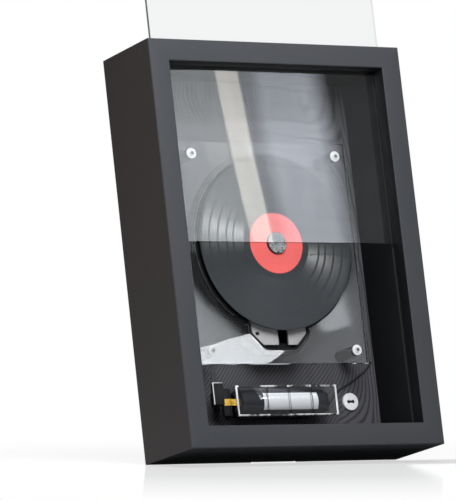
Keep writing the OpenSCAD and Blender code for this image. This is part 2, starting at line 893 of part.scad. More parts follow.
module gear2d(n, turn) { rotate(turn) polygon(gear_points(n)); }

// Rack with teeth towards +X on the pitch line x = 0, a gap centred on z = 0
module rack2d(teeth_down, teeth_up) {
    add = 0.9 * tooth_module;
    ded = 1.25 * tooth_module;
    half = tooth_pitch / 4 - backlash / 2;
    lean = tan(20);
    box2d(-2.3, -tooth_pitch * teeth_down, -ded, tooth_pitch * teeth_up);
    for (k = [-teeth_down:teeth_up - 1]) translate([0, tooth_pitch * (k + 0.5)])
        polygon([[-ded - eps, -half - ded * lean], [add, -half + add * lean],
                 [add, half - add * lean], [-ded - eps, half + ded * lean]]);
}

rack_down = 2;
rack_up = ceil(sled_travel / tooth_pitch) + 2;

module pickup_sled() {
    color("#1d1f21") difference() {
        union() {
            deck_slab(sled_y, sled_t)
                box2d(-sled_w / 2, -lens_inner - sled_down, sled_w / 2, sled_up - lens_inner);
            translate([rack_x, 0, 0]) deck_slab(rack_y, rack_t)
                translate([0, -gear_s]) rack2d(rack_down, rack_up);
        }
        rod_bore_z(-rod_x, rod_d / 2 + run_gap);
        rod_bore_z(rod_x, side_rod_d / 2 + run_gap);
        // Well for the lens holder and its magnets
        deck_slab(sled_y - 1, 1 + holder_t + focus_travel + 0.6)
            box2d(-6.5, -lens_inner - 7.5, 6.5, 7.5 - lens_inner);
    }
}

module rod_bore_z(x, r) { translate([x, rod_y, disc_z - rod_end]) cylinder(r = r, h = 2 * rod_end); }

module lens_magnets() {
    well_floor = sled_y + holder_t + focus_travel + 0.6;
    color("silver") for (s = [-1, 1])
        translate([-4, well_floor - 3.2, disc_z - lens_inner + s * 6.4 - 1]) cube([8, 3.2, 2]);
}

// The lens holder floats in the well, and its collar carries the lens through the deck plate
holder_y = sled_y + 0.2;

module lens_holder() {
    color("#0f1012") translate([0, 0, disc_z - lens_inner]) difference() {
        union() {
            translate([-holder_w / 2, holder_y, -4.6]) cube([holder_w, holder_t - 0.4, 9.2]);
            translate([0, lens_y + 0.4, 0]) rod_along_y(lens_r + 0.6, holder_y - lens_y);
        }
        translate([0, lens_y, 0]) rod_along_y(lens_r + 0.02, 1.6);
    }
}

module objective_lens() {
    color("#7fa8d8", 0.7) translate([0, 0, disc_z - lens_inner]) {
        translate([0, lens_y + 0.8, 0]) rod_along_y(lens_r, 0.8);
        intersection() {
            translate([0, lens_y + 0.8 + 3.6, 0]) sphere(r = 4.1);
            translate([0, lens_y, 0]) rod_along_y(lens_r - 0.4, 1);
        }
    }
}

module sled_motor() {
    color("silver") translate([sled_motor_x, 0, disc_z + sled_motor_z]) difference() {
        union() {
            translate([0, chassis_back_y, 0]) rod_along_y(sled_motor_r, sled_motor_l - 1);
            translate([0, chassis_back_y, 0]) rod_along_y(2.5, sled_motor_l);
        }
        translate([0, chassis_back_y + 1, 0]) rod_along_y(0.8 + run_gap, 20);
    }
}

module motor_pinion() {
    color("#d9c27a") translate([sled_motor_x, 0, disc_z + sled_motor_z]) {
        slab(wheel_y - 0.2, wheel_t + 0.4) gear2d(motor_teeth, mesh_angle + 180 + 180 / motor_teeth);
        translate([0, chassis_back_y + 1.4, 0]) rod_along_y(0.8, wheel_y - chassis_back_y - 1.2);
    }
}

module reduction_gear() {
    color("#e8e6df") translate([gear_x, 0, disc_z - gear_s]) difference() {
        union() {
            slab(rack_y - 0.1, wheel_y - rack_y + 0.1) gear2d(pinion_teeth, 0);
            slab(wheel_y, wheel_t) gear2d(wheel_teeth, mesh_angle);
        }
        translate([0, rack_y - 1, 0]) rod_along_y(gear_pin_r + run_gap, 20);
    }
}

module gear_pin() {
    color("silver") translate([gear_x, chassis_y + 0.2, disc_z - gear_s])
        rod_along_y(gear_pin_r, wheel_y + wheel_t - chassis_y);
}

module deck_flex_cable() {
    // From inside the drive cover, through the back board, and down the face of the main board
    y_in = drive_cover_y - 0.6;
    y_out = pcb_y + pcb_t + flex_t;
    color("#8a5a24") translate([flex_x - flex_w / 2, 0, 0]) {
        translate([0, y_in, flex_z]) cube([flex_w, y_out - y_in, flex_t]);
        translate([0, y_out - flex_t, pcb_high - 8]) cube([flex_w, flex_t, flex_z + flex_t - pcb_high + 8]);
    }
}

// ---------- Battery ----------

module battery_tray() {
    color("#e6ecef", 0.4) {
        translate([tray_left - tray_wall, board_y - tray_base_t, cell_z - cap_in_h / 2 + fit_gap])
            cube([tray_right - tray_left + 2 * tray_wall, tray_base_t, cap_in_h - 2 * fit_gap]);
        for (x = [tray_left - tray_wall, tray_right])
            translate([x, cell_y - 3, cell_z - 6]) cube([tray_wall, board_y - cell_y + 2, 12]);
    }
}

rib_mid = cell_x + 1.9;
rib_pitch = 17.5;
rib_xs = [rib_mid - rib_pitch, rib_mid, rib_mid + rib_pitch];
rib_w = 1.6;

module battery_cover() {
    cap_back_y = board_y - 0.3;
    low = cell_z - cap_h / 2;
    color("#eef3f5", 0.4) {
        difference() {
            union() {
                translate([cap_left, cap_front_y, low])
                    cube([cap_right - cap_left, cap_back_y - cap_front_y, cap_h]);
                // Bands around the cover over the cell
                for (x = rib_xs) translate([x - rib_w / 2, cap_front_y - 0.6, low - 0.6])
                    cube([rib_w, cap_back_y - cap_front_y + 0.6, cap_h + 1.2]);
            }
            translate([cap_left + tray_wall, cap_front_y + tray_wall, cell_z - cap_in_h / 2])
                cube([cap_right - cap_left - 2 * tray_wall, 60, cap_in_h]);
            // Cut-outs that lighten the top and bottom walls between the bands
            for (x = [rib_xs[0], rib_xs[1]]) translate([x + 3, cell_y - 3, low - 1])
                cube([rib_pitch - 6, 30, cap_h + 2]);
            // Notches for the strip contact and for the lead, open to the back
            translate([cap_left - 1, strip_y - free_gap, cell_z - contact_w / 2 - free_gap])
                cube([tray_wall + 2, 60, contact_w + 2 * free_gap]);
            translate([cap_right - tray_wall - 1, board_y - 5, cell_z - 2]) cube([tray_wall + 2, 20, 4]);
        }
    }
}

module battery_cell() {
    color("#1e2023") translate([cell_left, cell_y, cell_z]) {
        rod_along_x(cell_r - 0.4, 0.6);
        translate([0.5, 0, 0]) rod_along_x(cell_r, cell_l - 1);
        translate([cell_l - 0.6, 0, 0]) rod_along_x(cell_r - 0.4, 0.6);
        translate([cell_l, 0, 0]) rod_along_x(3, nub_l);
    }
}

module battery_band() {
    // A label bent round the front of the cell
    color("#f2f2f2") translate([cell_x + 3.95 - cell_band_l / 2, cell_y, cell_z - 0.1]) difference() {
        intersection() {
            translate([0, 0, 0.1]) rod_along_x(cell_r + band_t, cell_band_l);
            translate([0, -cell_d, -cell_band_h / 2]) cube([cell_band_l, cell_d, cell_band_h]);
        }
        translate([-1, 0, 0.1]) rod_along_x(cell_r + 0.01, cell_band_l + 2);
    }
}

module strip_contact() {
    // A strip from the terminal block, through the cover, turned back onto the end of the cell
    strip_right = cell_left - 0.1;
    color("#c9a13a") {
        translate([block_x + block_w, strip_y, cell_z - contact_w / 2])
            cube([strip_right - block_x - block_w, contact_t, contact_w]);
        translate([strip_right - contact_t, strip_y, cell_z - contact_w / 2])
            cube([contact_t, step_in + 4, contact_w]);
    }
}

module leaf_contact() {
    // Bent leaf that presses on the nub, drawn in X and Y
    color("#c9a13a") translate([tray_right, cell_y, cell_z - contact_w / 2])
        linear_extrude(contact_w) polygon([
            [0, -2.8], [0, 4], [-0.5, 4], [-0.5, 0.6], [-1.9, 0], [-0.5, -0.6], [-0.5, -2.8]
        ]);
}

module terminal_block() {
    arm_y = cell_y - step_in;
    color("#0e0e0f") {
        // Shell of the plug, with the arm that carries the strip behind it
        translate([block_x, block_y, block_low]) cube([block_w, block_t, block_h]);
        translate([stem_x - 3, arm_y, stem_low - 2]) cube([stem_w + 3, arm_t, stem_top - stem_low + 2]);
        translate([stem_x, arm_y, arm_low]) cube([stem_w, arm_t, stem_top - arm_low]);
        // Stem that stands on the back board
        translate([stem_x, arm_y, stem_low]) cube([stem_w, board_y - arm_y, stem_top - stem_low]);
    }
}

module battery_ribbon() {
    // Up the back board from the stem, through its slot, and across to the main board
    color("#2d2b2e") {
        translate([ribbon_x, board_y - ribbon_t, stem_top])
            cube([ribbon_w, ribbon_t, ribbon_turn_z - stem_top]);
        translate([ribbon_x, board_y - ribbon_t, ribbon_turn_z - ribbon_t])
            cube([ribbon_w, back_board_t + 2 * ribbon_t, ribbon_t]);
        translate([ribbon_x, board_back_y, ribbon_turn_z - ribbon_w])
            cube([pcb_left + 4 - ribbon_x, ribbon_t, ribbon_w]);
    }
}

// Route of the thin lead: from the tray, along the back board, and into its hole
lead_y = board_y - lead_d / 2 - 0.1;
lead_route = [
    [tray_right + tray_wall + 0.3, board_y - 3, cell_z], [cap_right + 4, lead_y - 1.2, cell_z + 0.5],
    [cap_right + 7.5, lead_y, cell_z + 3], [button_x - 12.5, lead_y, cell_z + 7],
    [button_x - 8.5, lead_y, cell_z + 10.5], [button_x - 2.5, lead_y, cell_z + 13.5],
    [button_x + 3.5, lead_y, cell_z + 16.5], [(button_x + lead_hole_x) / 2 - 1, lead_y, cell_z + 20],
    [lead_hole_x - 5.5, lead_y, lead_hole_z - 5.5], [lead_hole_x - 1.4, lead_y, lead_hole_z - 1.4],
    [lead_hole_x - 0.2, lead_y + 0.2, lead_hole_z - 0.2], [lead_hole_x, lead_y + 1.2, lead_hole_z],
    [lead_hole_x, pcb_y - 0.1, lead_hole_z]
];

function unit(v) = v / norm(v);

function sweep_ring(p, i, r, n) = let (
    t = unit(p[min(i + 1, len(p) - 1)] - p[max(i - 1, 0)]),
    u = unit(cross(t, [0.3, 0.4, -1])),
    v = cross(t, u)
) [for (k = [0:n - 1]) p[i] + r * cos(360 * k / n) * u + r * sin(360 * k / n) * v];

// A round tube of diameter d along the points p
module tube(p, d, n = 8) {
    rings = len(p);
    polyhedron(
        [for (i = [0:rings - 1]) each sweep_ring(p, i, d / 2, n)],
        concat(
            [[for (k = [0:n - 1]) k]],
            [[for (k = [0:n - 1]) n * rings - 1 - k]],
            [for (i = [0:rings - 2], k = [0:n - 1], h = [0, 1]) let (
                a = i * n + k, b = i * n + (k + 1) % n
            ) h == 0 ? [a, a + n, b] : [b, a + n, b + n]]
        )
    );
}

module power_lead() { color("#161616") tube(lead_route, lead_d); }

// ---------- Controls and electronics ----------

module power_button() {
    color("#f4f4f4") translate([button_x, 0, button_z]) difference() {
        union() {
            translate([0, board_y - button_proud, 0])
                rod_along_y(button_d / 2, button_back_y - board_y + button_proud);
            translate([0, button_back_y - button_flange_t, 0])
                rod_along_y(button_d / 2 + button_flange_w, button_flange_t);
        }
        // Short round-ended mark
        translate([-1.6, board_y - button_proud - 1, 0]) rod_along_y(0.8, 1.3);
        translate([1.6, board_y - button_proud - 1, 0]) rod_along_y(0.8, 1.3);
        translate([-1.6, board_y - button_proud - 1, -0.55]) cube([3.2, 1.3, 1.1]);
    }
}

module button_switch() {
    plunger_y = button_back_y + button_travel + 0.1;
    color("#55585c") {
        translate([button_x - 2.3, pcb_y - 0.6, button_z - 2.3]) cube([4.6, 0.6, 4.6]);
        translate([button_x, plunger_y, button_z]) rod_along_y(1.4, pcb_y - 0.5 - plunger_y);
    }
}

module port_notch(z, l, w) {
    box2d(port_face - l - fit_gap, z - w / 2 - fit_gap, rebate_x, z + w / 2 + fit_gap);
}

module main_board() {
    color("#14532d") slab(pcb_y, pcb_t) difference() {
        box2d(pcb_left, pcb_low, pcb_right, pcb_high);
        port_notch(usb_z, usb_l, usb_w);
        port_notch(jack_z, jack_l, jack_w);
    }
    // Feet that stand on the back board
    color("silver") for (x = [pcb_left + 3, pcb_right - 3], z = [pcb_low + 3, pcb_high - 3])
        translate([x, board_back_y, z]) rod_along_y(1.6, pcb_y - board_back_y + eps);
}

// Chips by their distance from the right edge and the foot of the main board, and by size
chips = [[50, 12, 12, 12, 1.2], [34, 30, 14, 10, 1], [50, 40, 10, 14, 1.2], [36, 66, 16, 12, 1.1],
         [49, 72, 6, 6, 1.4]];

module board_chips() {
    color("#1a1a1a") for (c = chips)
        translate([pcb_right - c[0], pcb_y + pcb_t, pcb_low + c[1]]) cube([c[2], c[4], c[3]]);
}

module usb_port() {
    // A shell with rounded sides around a middle tongue, open to the right
    half = (usb_w - usb_h) / 2;
    color("silver") translate([port_face - usb_l, port_y, usb_z]) {
        difference() {
            union() {
                for (s = [-1, 1]) translate([0, 0, s * half]) rod_along_x(usb_h / 2, usb_l);
                translate([0, -usb_h / 2, -half]) cube([usb_l, usb_h, 2 * half]);
            }
            for (s = [-1, 1]) translate([1, 0, s * half]) rod_along_x(usb_h / 2 - 0.3, usb_l);
            translate([1, -usb_h / 2 + 0.3, -half]) cube([usb_l, usb_h - 0.6, 2 * half]);
        }
        translate([0.5, -0.35, -half]) cube([usb_l - 1.5, 0.7, 2 * half]);
    }
}

module audio_jack() {
    color("#101010") difference() {
        translate([port_face - jack_l, port_y - jack_h / 2, jack_z - jack_w / 2])
            cube([jack_l, jack_h, jack_w]);
        translate([port_face - jack_l + 1, port_y, jack_z]) rod_along_x(jack_d / 2 + 0.05, jack_l);
    }
}

// ---------- Stand ----------

module stand_leg() {
    color("#232527") difference() {
        union() {
            translate([-leg_w / 2, hinge_y, hinge_z]) rod_along_x(leg_t / 2, leg_w);
            translate([-leg_w / 2, hinge_y - leg_t / 2, leg_foot_z])
                cube([leg_w, leg_t, hinge_z - leg_foot_z]);
            // Rubber-like toe at the foot
            translate([-leg_w / 2 + 2, hinge_y - leg_t / 2 + 0.4, leg_foot_z - 1])
                cube([leg_w - 4, leg_t - 0.8, 1 + eps]);
        }
        translate([-leg_w, hinge_y, hinge_z]) rod_along_x(pin_d / 2 + run_gap, 2 * leg_w);
        // Finger hole for pulling the leg out
        translate([0, hinge_y - leg_t, hinge_z * 0.28]) rod_along_y(7, 2 * leg_t);
    }
}

module stand_hinge_pin() {
    color("silver") translate([-pan_w / 2, hinge_y, hinge_z]) rod_along_x(pin_d / 2, pan_w);
}

module stand_bracket() {
    color("#6d7072") difference() {
        union() {
            // Shallow pan behind the folded leg, closed at the top
            slab(pan_y, pan_t) box2d(-pan_w / 2, rebate_low + fit_gap, pan_w / 2, slot_top - fit_gap);
            // Feet that stand on the back board
            slab(board_back_y, pan_y - board_back_y + eps)
                for (s = [-1, 1], z = [rebate_low + 4, hinge_z])
                    box2d(s * (pan_w / 2 - 4) - 2, z - 3, s * (pan_w / 2 - 4) + 2, z + 3);
            for (s = [-1, 1])
                translate([s * (pan_w - ear_t) / 2 - ear_t / 2, pan_y, hinge_z - 5])
                    cube([ear_t, hinge_y + leg_t / 2 - pan_y, 8]);
        }
        translate([-pan_w, hinge_y, hinge_z]) rod_along_x(pin_d / 2 + 0.02, 2 * pan_w);
    }
}

frame_left_board();
frame_right_board();
frame_top_board();
frame_bottom_board();
corner_brackets();
corner_bracket_screws();
groove_felt_strips();
front_panel();
back_board();
back_board_screws();
rear_cover();
cover_spacers();
rear_cover_screws();
wall_hangers();
mount_plate();
plate_standoffs();
plate_screws();
plate_washers();
deck_bezel();
deck_plate();
deck_chassis();
deck_isolators();
deck_screws();
deck_cover();
spindle_motor();
spindle_shaft();
spindle_hub();
hub_balls();
hub_cap();
disc();
disc_label();
pickup_sled();
lens_magnets();
lens_holder();
objective_lens();
guide_rods();
sled_motor();
motor_pinion();
reduction_gear();
gear_pin();
deck_flex_cable();
battery_tray();
battery_cover();
battery_cell();
battery_band();
strip_contact();
leaf_contact();
terminal_block();
battery_ribbon();
power_lead();
power_button();
button_switch();
main_board();
board_chips();
usb_port();
audio_jack();
stand_leg();
stand_hinge_pin();
stand_bracket();
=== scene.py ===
"""Looks, stage, lights and camera for a disc player in a deep picture frame.

Lengths are in metres: x runs to the right, y to the back and z up. The frame stands upright in these axes.
In the photo it leans back on its rear bottom edge, so the floor and the camera lean instead.
"""
import json
import math

import bmesh
import bpy
from mathutils import Matrix, Vector

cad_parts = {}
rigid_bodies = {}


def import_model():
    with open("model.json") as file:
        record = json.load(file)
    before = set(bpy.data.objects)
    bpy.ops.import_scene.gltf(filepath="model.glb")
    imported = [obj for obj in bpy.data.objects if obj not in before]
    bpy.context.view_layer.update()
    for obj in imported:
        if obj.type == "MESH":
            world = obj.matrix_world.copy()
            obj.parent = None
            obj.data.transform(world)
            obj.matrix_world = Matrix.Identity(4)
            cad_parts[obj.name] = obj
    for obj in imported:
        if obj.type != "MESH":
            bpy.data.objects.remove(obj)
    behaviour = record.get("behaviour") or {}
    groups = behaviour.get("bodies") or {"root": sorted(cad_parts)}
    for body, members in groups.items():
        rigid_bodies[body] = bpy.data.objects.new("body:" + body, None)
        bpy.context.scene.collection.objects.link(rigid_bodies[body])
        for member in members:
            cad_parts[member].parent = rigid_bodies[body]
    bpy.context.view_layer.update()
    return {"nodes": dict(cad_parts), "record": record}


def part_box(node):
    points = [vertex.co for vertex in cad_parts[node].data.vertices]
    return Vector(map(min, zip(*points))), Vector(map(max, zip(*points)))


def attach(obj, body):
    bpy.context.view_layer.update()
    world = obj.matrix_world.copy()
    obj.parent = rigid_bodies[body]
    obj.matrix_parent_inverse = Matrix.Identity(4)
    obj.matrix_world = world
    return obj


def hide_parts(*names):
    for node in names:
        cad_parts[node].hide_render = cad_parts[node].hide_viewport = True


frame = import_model()
NODES = frame["nodes"]
SUBPARTS = frame["record"]["subparts"]
SLOT_OF = {part["node"]: part["material_slot"] for part in SUBPARTS}
BODY_OF = {node: body for body, nodes in frame["record"]["behaviour"]["bodies"].items() for node in nodes}

# ---------------------------------------------------------------- sizes and places
X, Y, Z = 0, 1, 2
LOW, HIGH = 0, 1


def middle(node, axis):
    """Middle of a CAD node's box along one axis."""
    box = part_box(node)
    return (box[LOW][axis] + box[HIGH][axis]) / 2


FRONT_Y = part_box("frame_left_board")[LOW][Y]
BACK_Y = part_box("frame_left_board")[HIGH][Y]
WINDOW_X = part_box("frame_right_board")[LOW][X]
WINDOW_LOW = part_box("frame_bottom_board")[HIGH][Z]
WINDOW_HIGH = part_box("frame_top_board")[LOW][Z]
PANEL_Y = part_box("front_panel")[LOW][Y]
PLATE_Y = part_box("mount_plate")[LOW][Y]
PLATE_Z = middle("mount_plate", Z)
SCREW_INSET = 0.009  # from the plate's edges to its screws
SCREW_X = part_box("mount_plate")[HIGH][X] - SCREW_INSET
SCREW_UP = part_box("mount_plate")[HIGH][Z] - PLATE_Z - SCREW_INSET
DISC_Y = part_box("disc")[LOW][Y]
DISC_Z = middle("disc", Z)
DISC_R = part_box("disc")[HIGH][X]
LABEL_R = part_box("disc_label")[HIGH][X]
CELL_Y = middle("battery_cell", Y)
CELL_R = CELL_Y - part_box("battery_cell")[LOW][Y]
CELL_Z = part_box("battery_cell")[LOW][Z] + CELL_R
COVER_X = middle("battery_cover", X)
COVER_HALF_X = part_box("battery_cover")[HIGH][X] - COVER_X
RIB_XS = (-0.0181, -0.0006, 0.0169)  # the ribs round the battery cover
RIB_H = 0.0006                       # how far they stand proud of it
LEAN = math.radians(12.0)            # of the frame in the photo


# ---------------------------------------------------------------- node helpers
class Tree:
    """A node tree with short calls. Every call returns an output of the node that it made."""

    def __init__(self, owner, output="OutputMaterial"):
        self.nt = owner.node_tree
        self.nt.nodes.clear()
        self.out = self.nt.nodes.new("ShaderNode" + output)

    def add(self, kind, inputs=None, out=0, **props):
        node = self.nt.nodes.new("ShaderNode" + kind)
        for key, value in props.items():
            setattr(node, key, value)
        for key, value in (inputs or {}).items():
            self.feed(node.inputs[key], value)
        return node.outputs[out]

    def feed(self, socket, value):
        if isinstance(value, bpy.types.NodeSocket):
            self.nt.links.new(value, socket)
        elif isinstance(value, (tuple, list)) and len(value) == 3 and socket.type == "RGBA":
            socket.default_value = (*value, 1.0)
        else:
            socket.default_value = value

    def surface(self, shader):
        self.nt.links.new(shader, self.out.inputs["Surface"])

    # Numbers
    def math(self, op, a, b=0.0, clamp=False):
        return self.add("Math", {0: a, 1: b}, operation=op, use_clamp=clamp)

    def plus(self, a, b, clamp=False):
        return self.math("ADD", a, b, clamp)

    def minus(self, a, b):
        return self.math("SUBTRACT", a, b)

    def times(self, *factors):
        product = factors[0]
        for factor in factors[1:]:
            product = self.math("MULTIPLY", product, factor)
        return product

    def largest(self, *values):
        best = values[0]
        for value in values[1:]:
            best = self.math("MAXIMUM", best, value)
        return best

    def below(self, a, limit):
        return self.math("LESS_THAN", a, limit)

    def above(self, a, limit):
        return self.math("GREATER_THAN", a, limit)

    def size(self, a):
        return self.math("ABSOLUTE", a)

    def length(self, a, b):
        return self.math("SQRT", self.plus(self.times(a, a), self.times(b, b)))

    def near_any(self, a, places, reach):
        """1 where a lies within reach of one of the places, and 0 elsewhere."""
        near = [self.below(self.size(self.minus(a, at)), reach) for at in places]
        return self.largest(*near)

    def ramp(self, fac, stops, mode="LINEAR"):
        """A colour ramp. A stop's colour is three numbers, or one number for a grey."""
        out = self.add("ValToRGB", {"Fac": fac})
        ramp = out.node.color_ramp
        ramp.interpolation = mode
        while len(ramp.elements) > 1:
            ramp.elements.remove(ramp.elements[-1])
        for i, (at, colour) in enumerate(stops):
            element = ramp.elements[0] if i == 0 else ramp.elements.new(at)
            element.position = at
            element.color = (*colour, 1.0) if isinstance(colour, tuple) else (colour, colour, colour, 1.0)
        return out

    # Places, and light paths
    def coord(self, scale, turn=(0, 0, 0)):
        place = self.add("TexCoord", out=3)
        return self.add("Mapping", {"Vector": place, "Scale": scale, "Rotation": turn})

    def parts(self, vector):
        return self.add("SeparateXYZ", {0: vector}).node.outputs

    def axes(self):
        """The point's x, y and z."""
        x, y, z = self.parts(self.add("TexCoord", out=3))
        return x, y, z

    def across(self):
        """The point's place on a card, from its left edge and from its lower edge."""
        place = self.parts(self.add("TexCoord", out=2))
        return place[0], place[1]

    def normal(self):
        x, y, z = self.parts(self.add("TexCoord", out=1))
        return x, y, z

    def facing(self, axis):
        """How squarely the surface faces along an axis, 0 to 1."""
        return self.size(self.normal()[axis])

    def from_disc_centre(self):
        """Distance from the disc's axis."""
        x, _, z = self.axes()
        return self.length(x, self.minus(z, DISC_Z))

    def looked_at(self):
        """1 for rays from the camera, from mirrors and through clear pieces, which see white behind."""
        path = self.add("LightPath").node.outputs
        return self.largest(path["Is Camera Ray"], path["Is Glossy Ray"], path["Is Transmission Ray"])

    # Textures
    def noise(self, scale, detail=3.0, rough=0.5, vector=None):
        where = vector if vector is not None else self.coord((1, 1, 1))
        return self.add("TexNoise", {"Vector": where, "Scale": scale, "Detail": detail, "Roughness": rough})

    def cells(self, scale):
        return self.add("TexVoronoi", {"Vector": self.coord((1, 1, 1)), "Scale": scale})

    def mix(self, fac, a, b, blend="MIX"):
        """Mixes two colours."""
        node = self.nt.nodes.new("ShaderNodeMix")
        node.data_type = "RGBA"
        node.blend_type = blend
        self.feed(node.inputs[0], fac)
        self.feed(node.inputs[6], a)
        self.feed(node.inputs[7], b)
        return node.outputs[2]

    def bump(self, height, strength, distance):
        return self.add("Bump", {"Height": height, "Strength": strength, "Distance": distance})

    # Shaders
    def principled(self, colour, rough, metallic=0.0, bump=None, **more):
        """Principled shader. More inputs are named with _ for each space."""
        inputs = {"Base Color": colour, "Roughness": rough, "Metallic": metallic}
        for key, value in more.items():
            inputs[key.replace("_", " ")] = value
        if bump is not None:
            inputs["Normal"] = bump
        return self.add("BsdfPrincipled", inputs)

    def blend(self, share, first, second):
        return self.add("MixShader", {0: share, 1: first, 2: second})

    def see_through(self, tint=(1, 1, 1)):
        return self.add("BsdfTransparent", {"Color": tint})

    def glow(self, colour, strength):
        return self.add("Emission", {"Color": colour, "Strength": strength})

    def polished(self, tint, ior):
        """Clear skin: it passes what is behind it, and mirrors where a ray that isn't diffuse enters."""
        leaves = self.add("NewGeometry", out=6)
        scattered = self.add("LightPath").node.outputs["Is Diffuse Ray"]
        shown = self.minus(1.0, self.largest(leaves, scattered))
        shine = self.times(self.add("Fresnel", {"IOR": ior}), shown)
        mirror = self.add("BsdfGlossy", {"Color": (1.0, 1.0, 1.0), "Roughness": 0.0})
        return self.blend(shine, self.see_through(tint), mirror)


def material(name):
    """A new material, and its empty tree."""
    m = bpy.data.materials.new(name)
    m.use_nodes = True
    return m, Tree(m)


# ---------------------------------------------------------------- materials shared by several pieces
def plastic(name, dark, light, rough, grain=900, bump=0.12, gloss=0.5):
    """Moulded plastic with a fine spark texture and a faint uneven tone."""
    m, t = material(name)
    tone = t.ramp(t.noise(35, 4.0, 0.6), [(0.3, dark), (0.7, light)])
    fine = t.noise(grain * 2, 2.0, 0.6)
    uneven = t.add("MapRange", {"Value": t.noise(120), "To Min": rough - 0.05, "To Max": rough + 0.07})
    t.surface(t.principled(tone, uneven, bump=t.bump(fine, bump, 0.0002), Specular_IOR_Level=gloss))
    return m


BRUSHED = {"x": (30, 900, 900), "y": (900, 30, 900), "z": (900, 900, 30), None: (260, 260, 260)}


def metal(name, dark, light, rough, brushed=None, scratch=0.1):
    """Plated or brushed metal, with long streaks along one axis."""
    m, t = material(name)
    streak = t.noise(1.0, 4.0, 0.6, t.coord(BRUSHED[brushed]))
    tone = t.ramp(streak, [(0.3, dark), (0.7, light)])
    uneven = t.add("MapRange", {"Value": streak, "To Min": rough - 0.06, "To Max": rough + 0.1})
    t.surface(t.principled(tone, uneven, metallic=1.0, bump=t.bump(streak, scratch, 0.0001)))
    return m


def rubber(name, level):
    """Matt rubber with an uneven tone."""
    m, t = material(name)
    tone = t.ramp(t.noise(90, 4.0, 0.7), [(0.3, level), (0.7, level * 1.9)])
    t.surface(t.principled(tone, 0.7, bump=t.bump(t.noise(1600), 0.15, 0.0001)))
    return m


# ---------------------------------------------------------------- clear sheets
def clear(name, tint, ior, rim, dusty):
    """Clear sheet with polished broad faces and a little dust. rim(t, see) dresses its cut edges."""
    m, t = material(name)
    broad = t.above(t.facing(Y), 0.8)
    dust = t.ramp(t.noise(14, 5.0, 0.7), [(0.45, 0.0), (0.8, dusty)])
    haze = t.add("BsdfDiffuse", {"Color": (0.9, 0.92, 0.94)})
    face = t.blend(dust, t.polished(tint, ior), haze)
    t.surface(t.blend(broad, rim(t, t.see_through(tint)), face))
    return m


def panel_rim(t, see):
    """Sawn edge of the panel, with painted shade: dark at the left and below, and nearly clear at the
    right.
    """
    right_from = 0.088
    tone = t.ramp(t.noise(40, 2.0), [(0.46, (0.02, 0.022, 0.024)), (0.56, (0.10, 0.11, 0.115))])
    # Painted shade: the edge is dark and mostly opaque left of right_from.
    solid = t.ramp(t.above(t.axes()[X], right_from), [(0.0, 0.85), (1.0, 0.12)], "CONSTANT")
    return t.blend(solid, see, t.principled(tone, 0.15))


def plate_rim(t, see):
    """Polished edge of the plate, with painted highlights and shade: bright at its front corner, dark
    behind, with bright stretches below.
    """
    corner, span = 0.0012, 0.140
    x, y, z = t.axes()
    level = t.above(t.facing(Z), 0.8)
    lower_edge = t.times(level, t.below(z, PLATE_Z))
    front = t.plus(level, t.below(y, PLATE_Y + corner), True)
    along = t.plus(t.times(x, 1.0 / span), 0.5)
    stretches = t.ramp(along, [(0.0, 1.0), (0.055, 0.0), (0.195, 1.0), (0.215, 0.0), (0.295, 0.9),
                               (0.52, 0.0), (0.885, 1.0), (0.905, 0.0), (0.955, 1.0)], "CONSTANT")
    upright = t.times(t.minus(1.0, level), 0.7)
    # Painted highlights where the edge is lit, made patchy by noise; the dark shader elsewhere is painted
    # shade.
    lit = t.times(front, t.plus(t.times(lower_edge, stretches), upright, True))
    patchy_highlight = t.times(lit, t.ramp(t.noise(120, 3.0, 0.6), [(0.35, 0.55), (0.55, 1.0)]))
    dark = t.principled((0.035, 0.038, 0.041), 0.15)
    inner = t.add("BsdfTranslucent", {"Color": (0.95, 0.97, 1.0)})
    bright = t.blend(0.3, inner, t.principled((0.9, 0.92, 0.94), 0.15))
    return t.blend(0.85, see, t.blend(patchy_highlight, dark, bright))


def cover_material():
    """Clear moulded cover: polished, with painted shade as dark lines at its ribs."""
    m, t = material("clear_tray")
    # Painted shade: a darker tint along thin lines at the ribs.
    ribs = t.near_any(t.axes()[X], RIB_XS, 0.00022)
    t.surface(t.polished(t.mix(ribs, (0.955, 0.96, 0.965), (0.42, 0.43, 0.44)), 1.35))
    return m


def bead_material():
    """Thick moulded edge of the clear cover, with painted light: white painted highlights where it catches
    the light, and a darker tint in between as painted shade.
    """
    m, t = material("cover_bead")
    end_l, tick = 0.00235, 0.0007
    x = t.axes()[X]
    ends = t.times(t.above(t.size(t.minus(x, COVER_X)), COVER_HALF_X - end_l), 0.95)
    patches = t.ramp(t.noise(1.0, 2.0, 0.6, t.coord((90, 90, 90))), [(0.50, 0.04), (0.60, 0.70)])
    # Painted highlights at the ends, in noise patches and at the ribs.
    lit = t.largest(ends, patches, t.near_any(x, RIB_XS, tick))
    t.surface(t.blend(lit, t.see_through((0.45, 0.46, 0.47)), t.principled((0.95, 0.95, 0.96), 0.2)))
    return m


def shaded_tray_material():
    """Tray behind the cell, tinted dark as painted shade inside the cover."""
    m, t = material("shaded_tray")
    tone = t.ramp(t.noise(80), [(0.3, (0.012, 0.012, 0.013)), (0.7, (0.022, 0.022, 0.024))])
    t.surface(t.blend(0.6, t.see_through((0.35, 0.355, 0.36)), t.principled(tone, 0.25)))
    return m


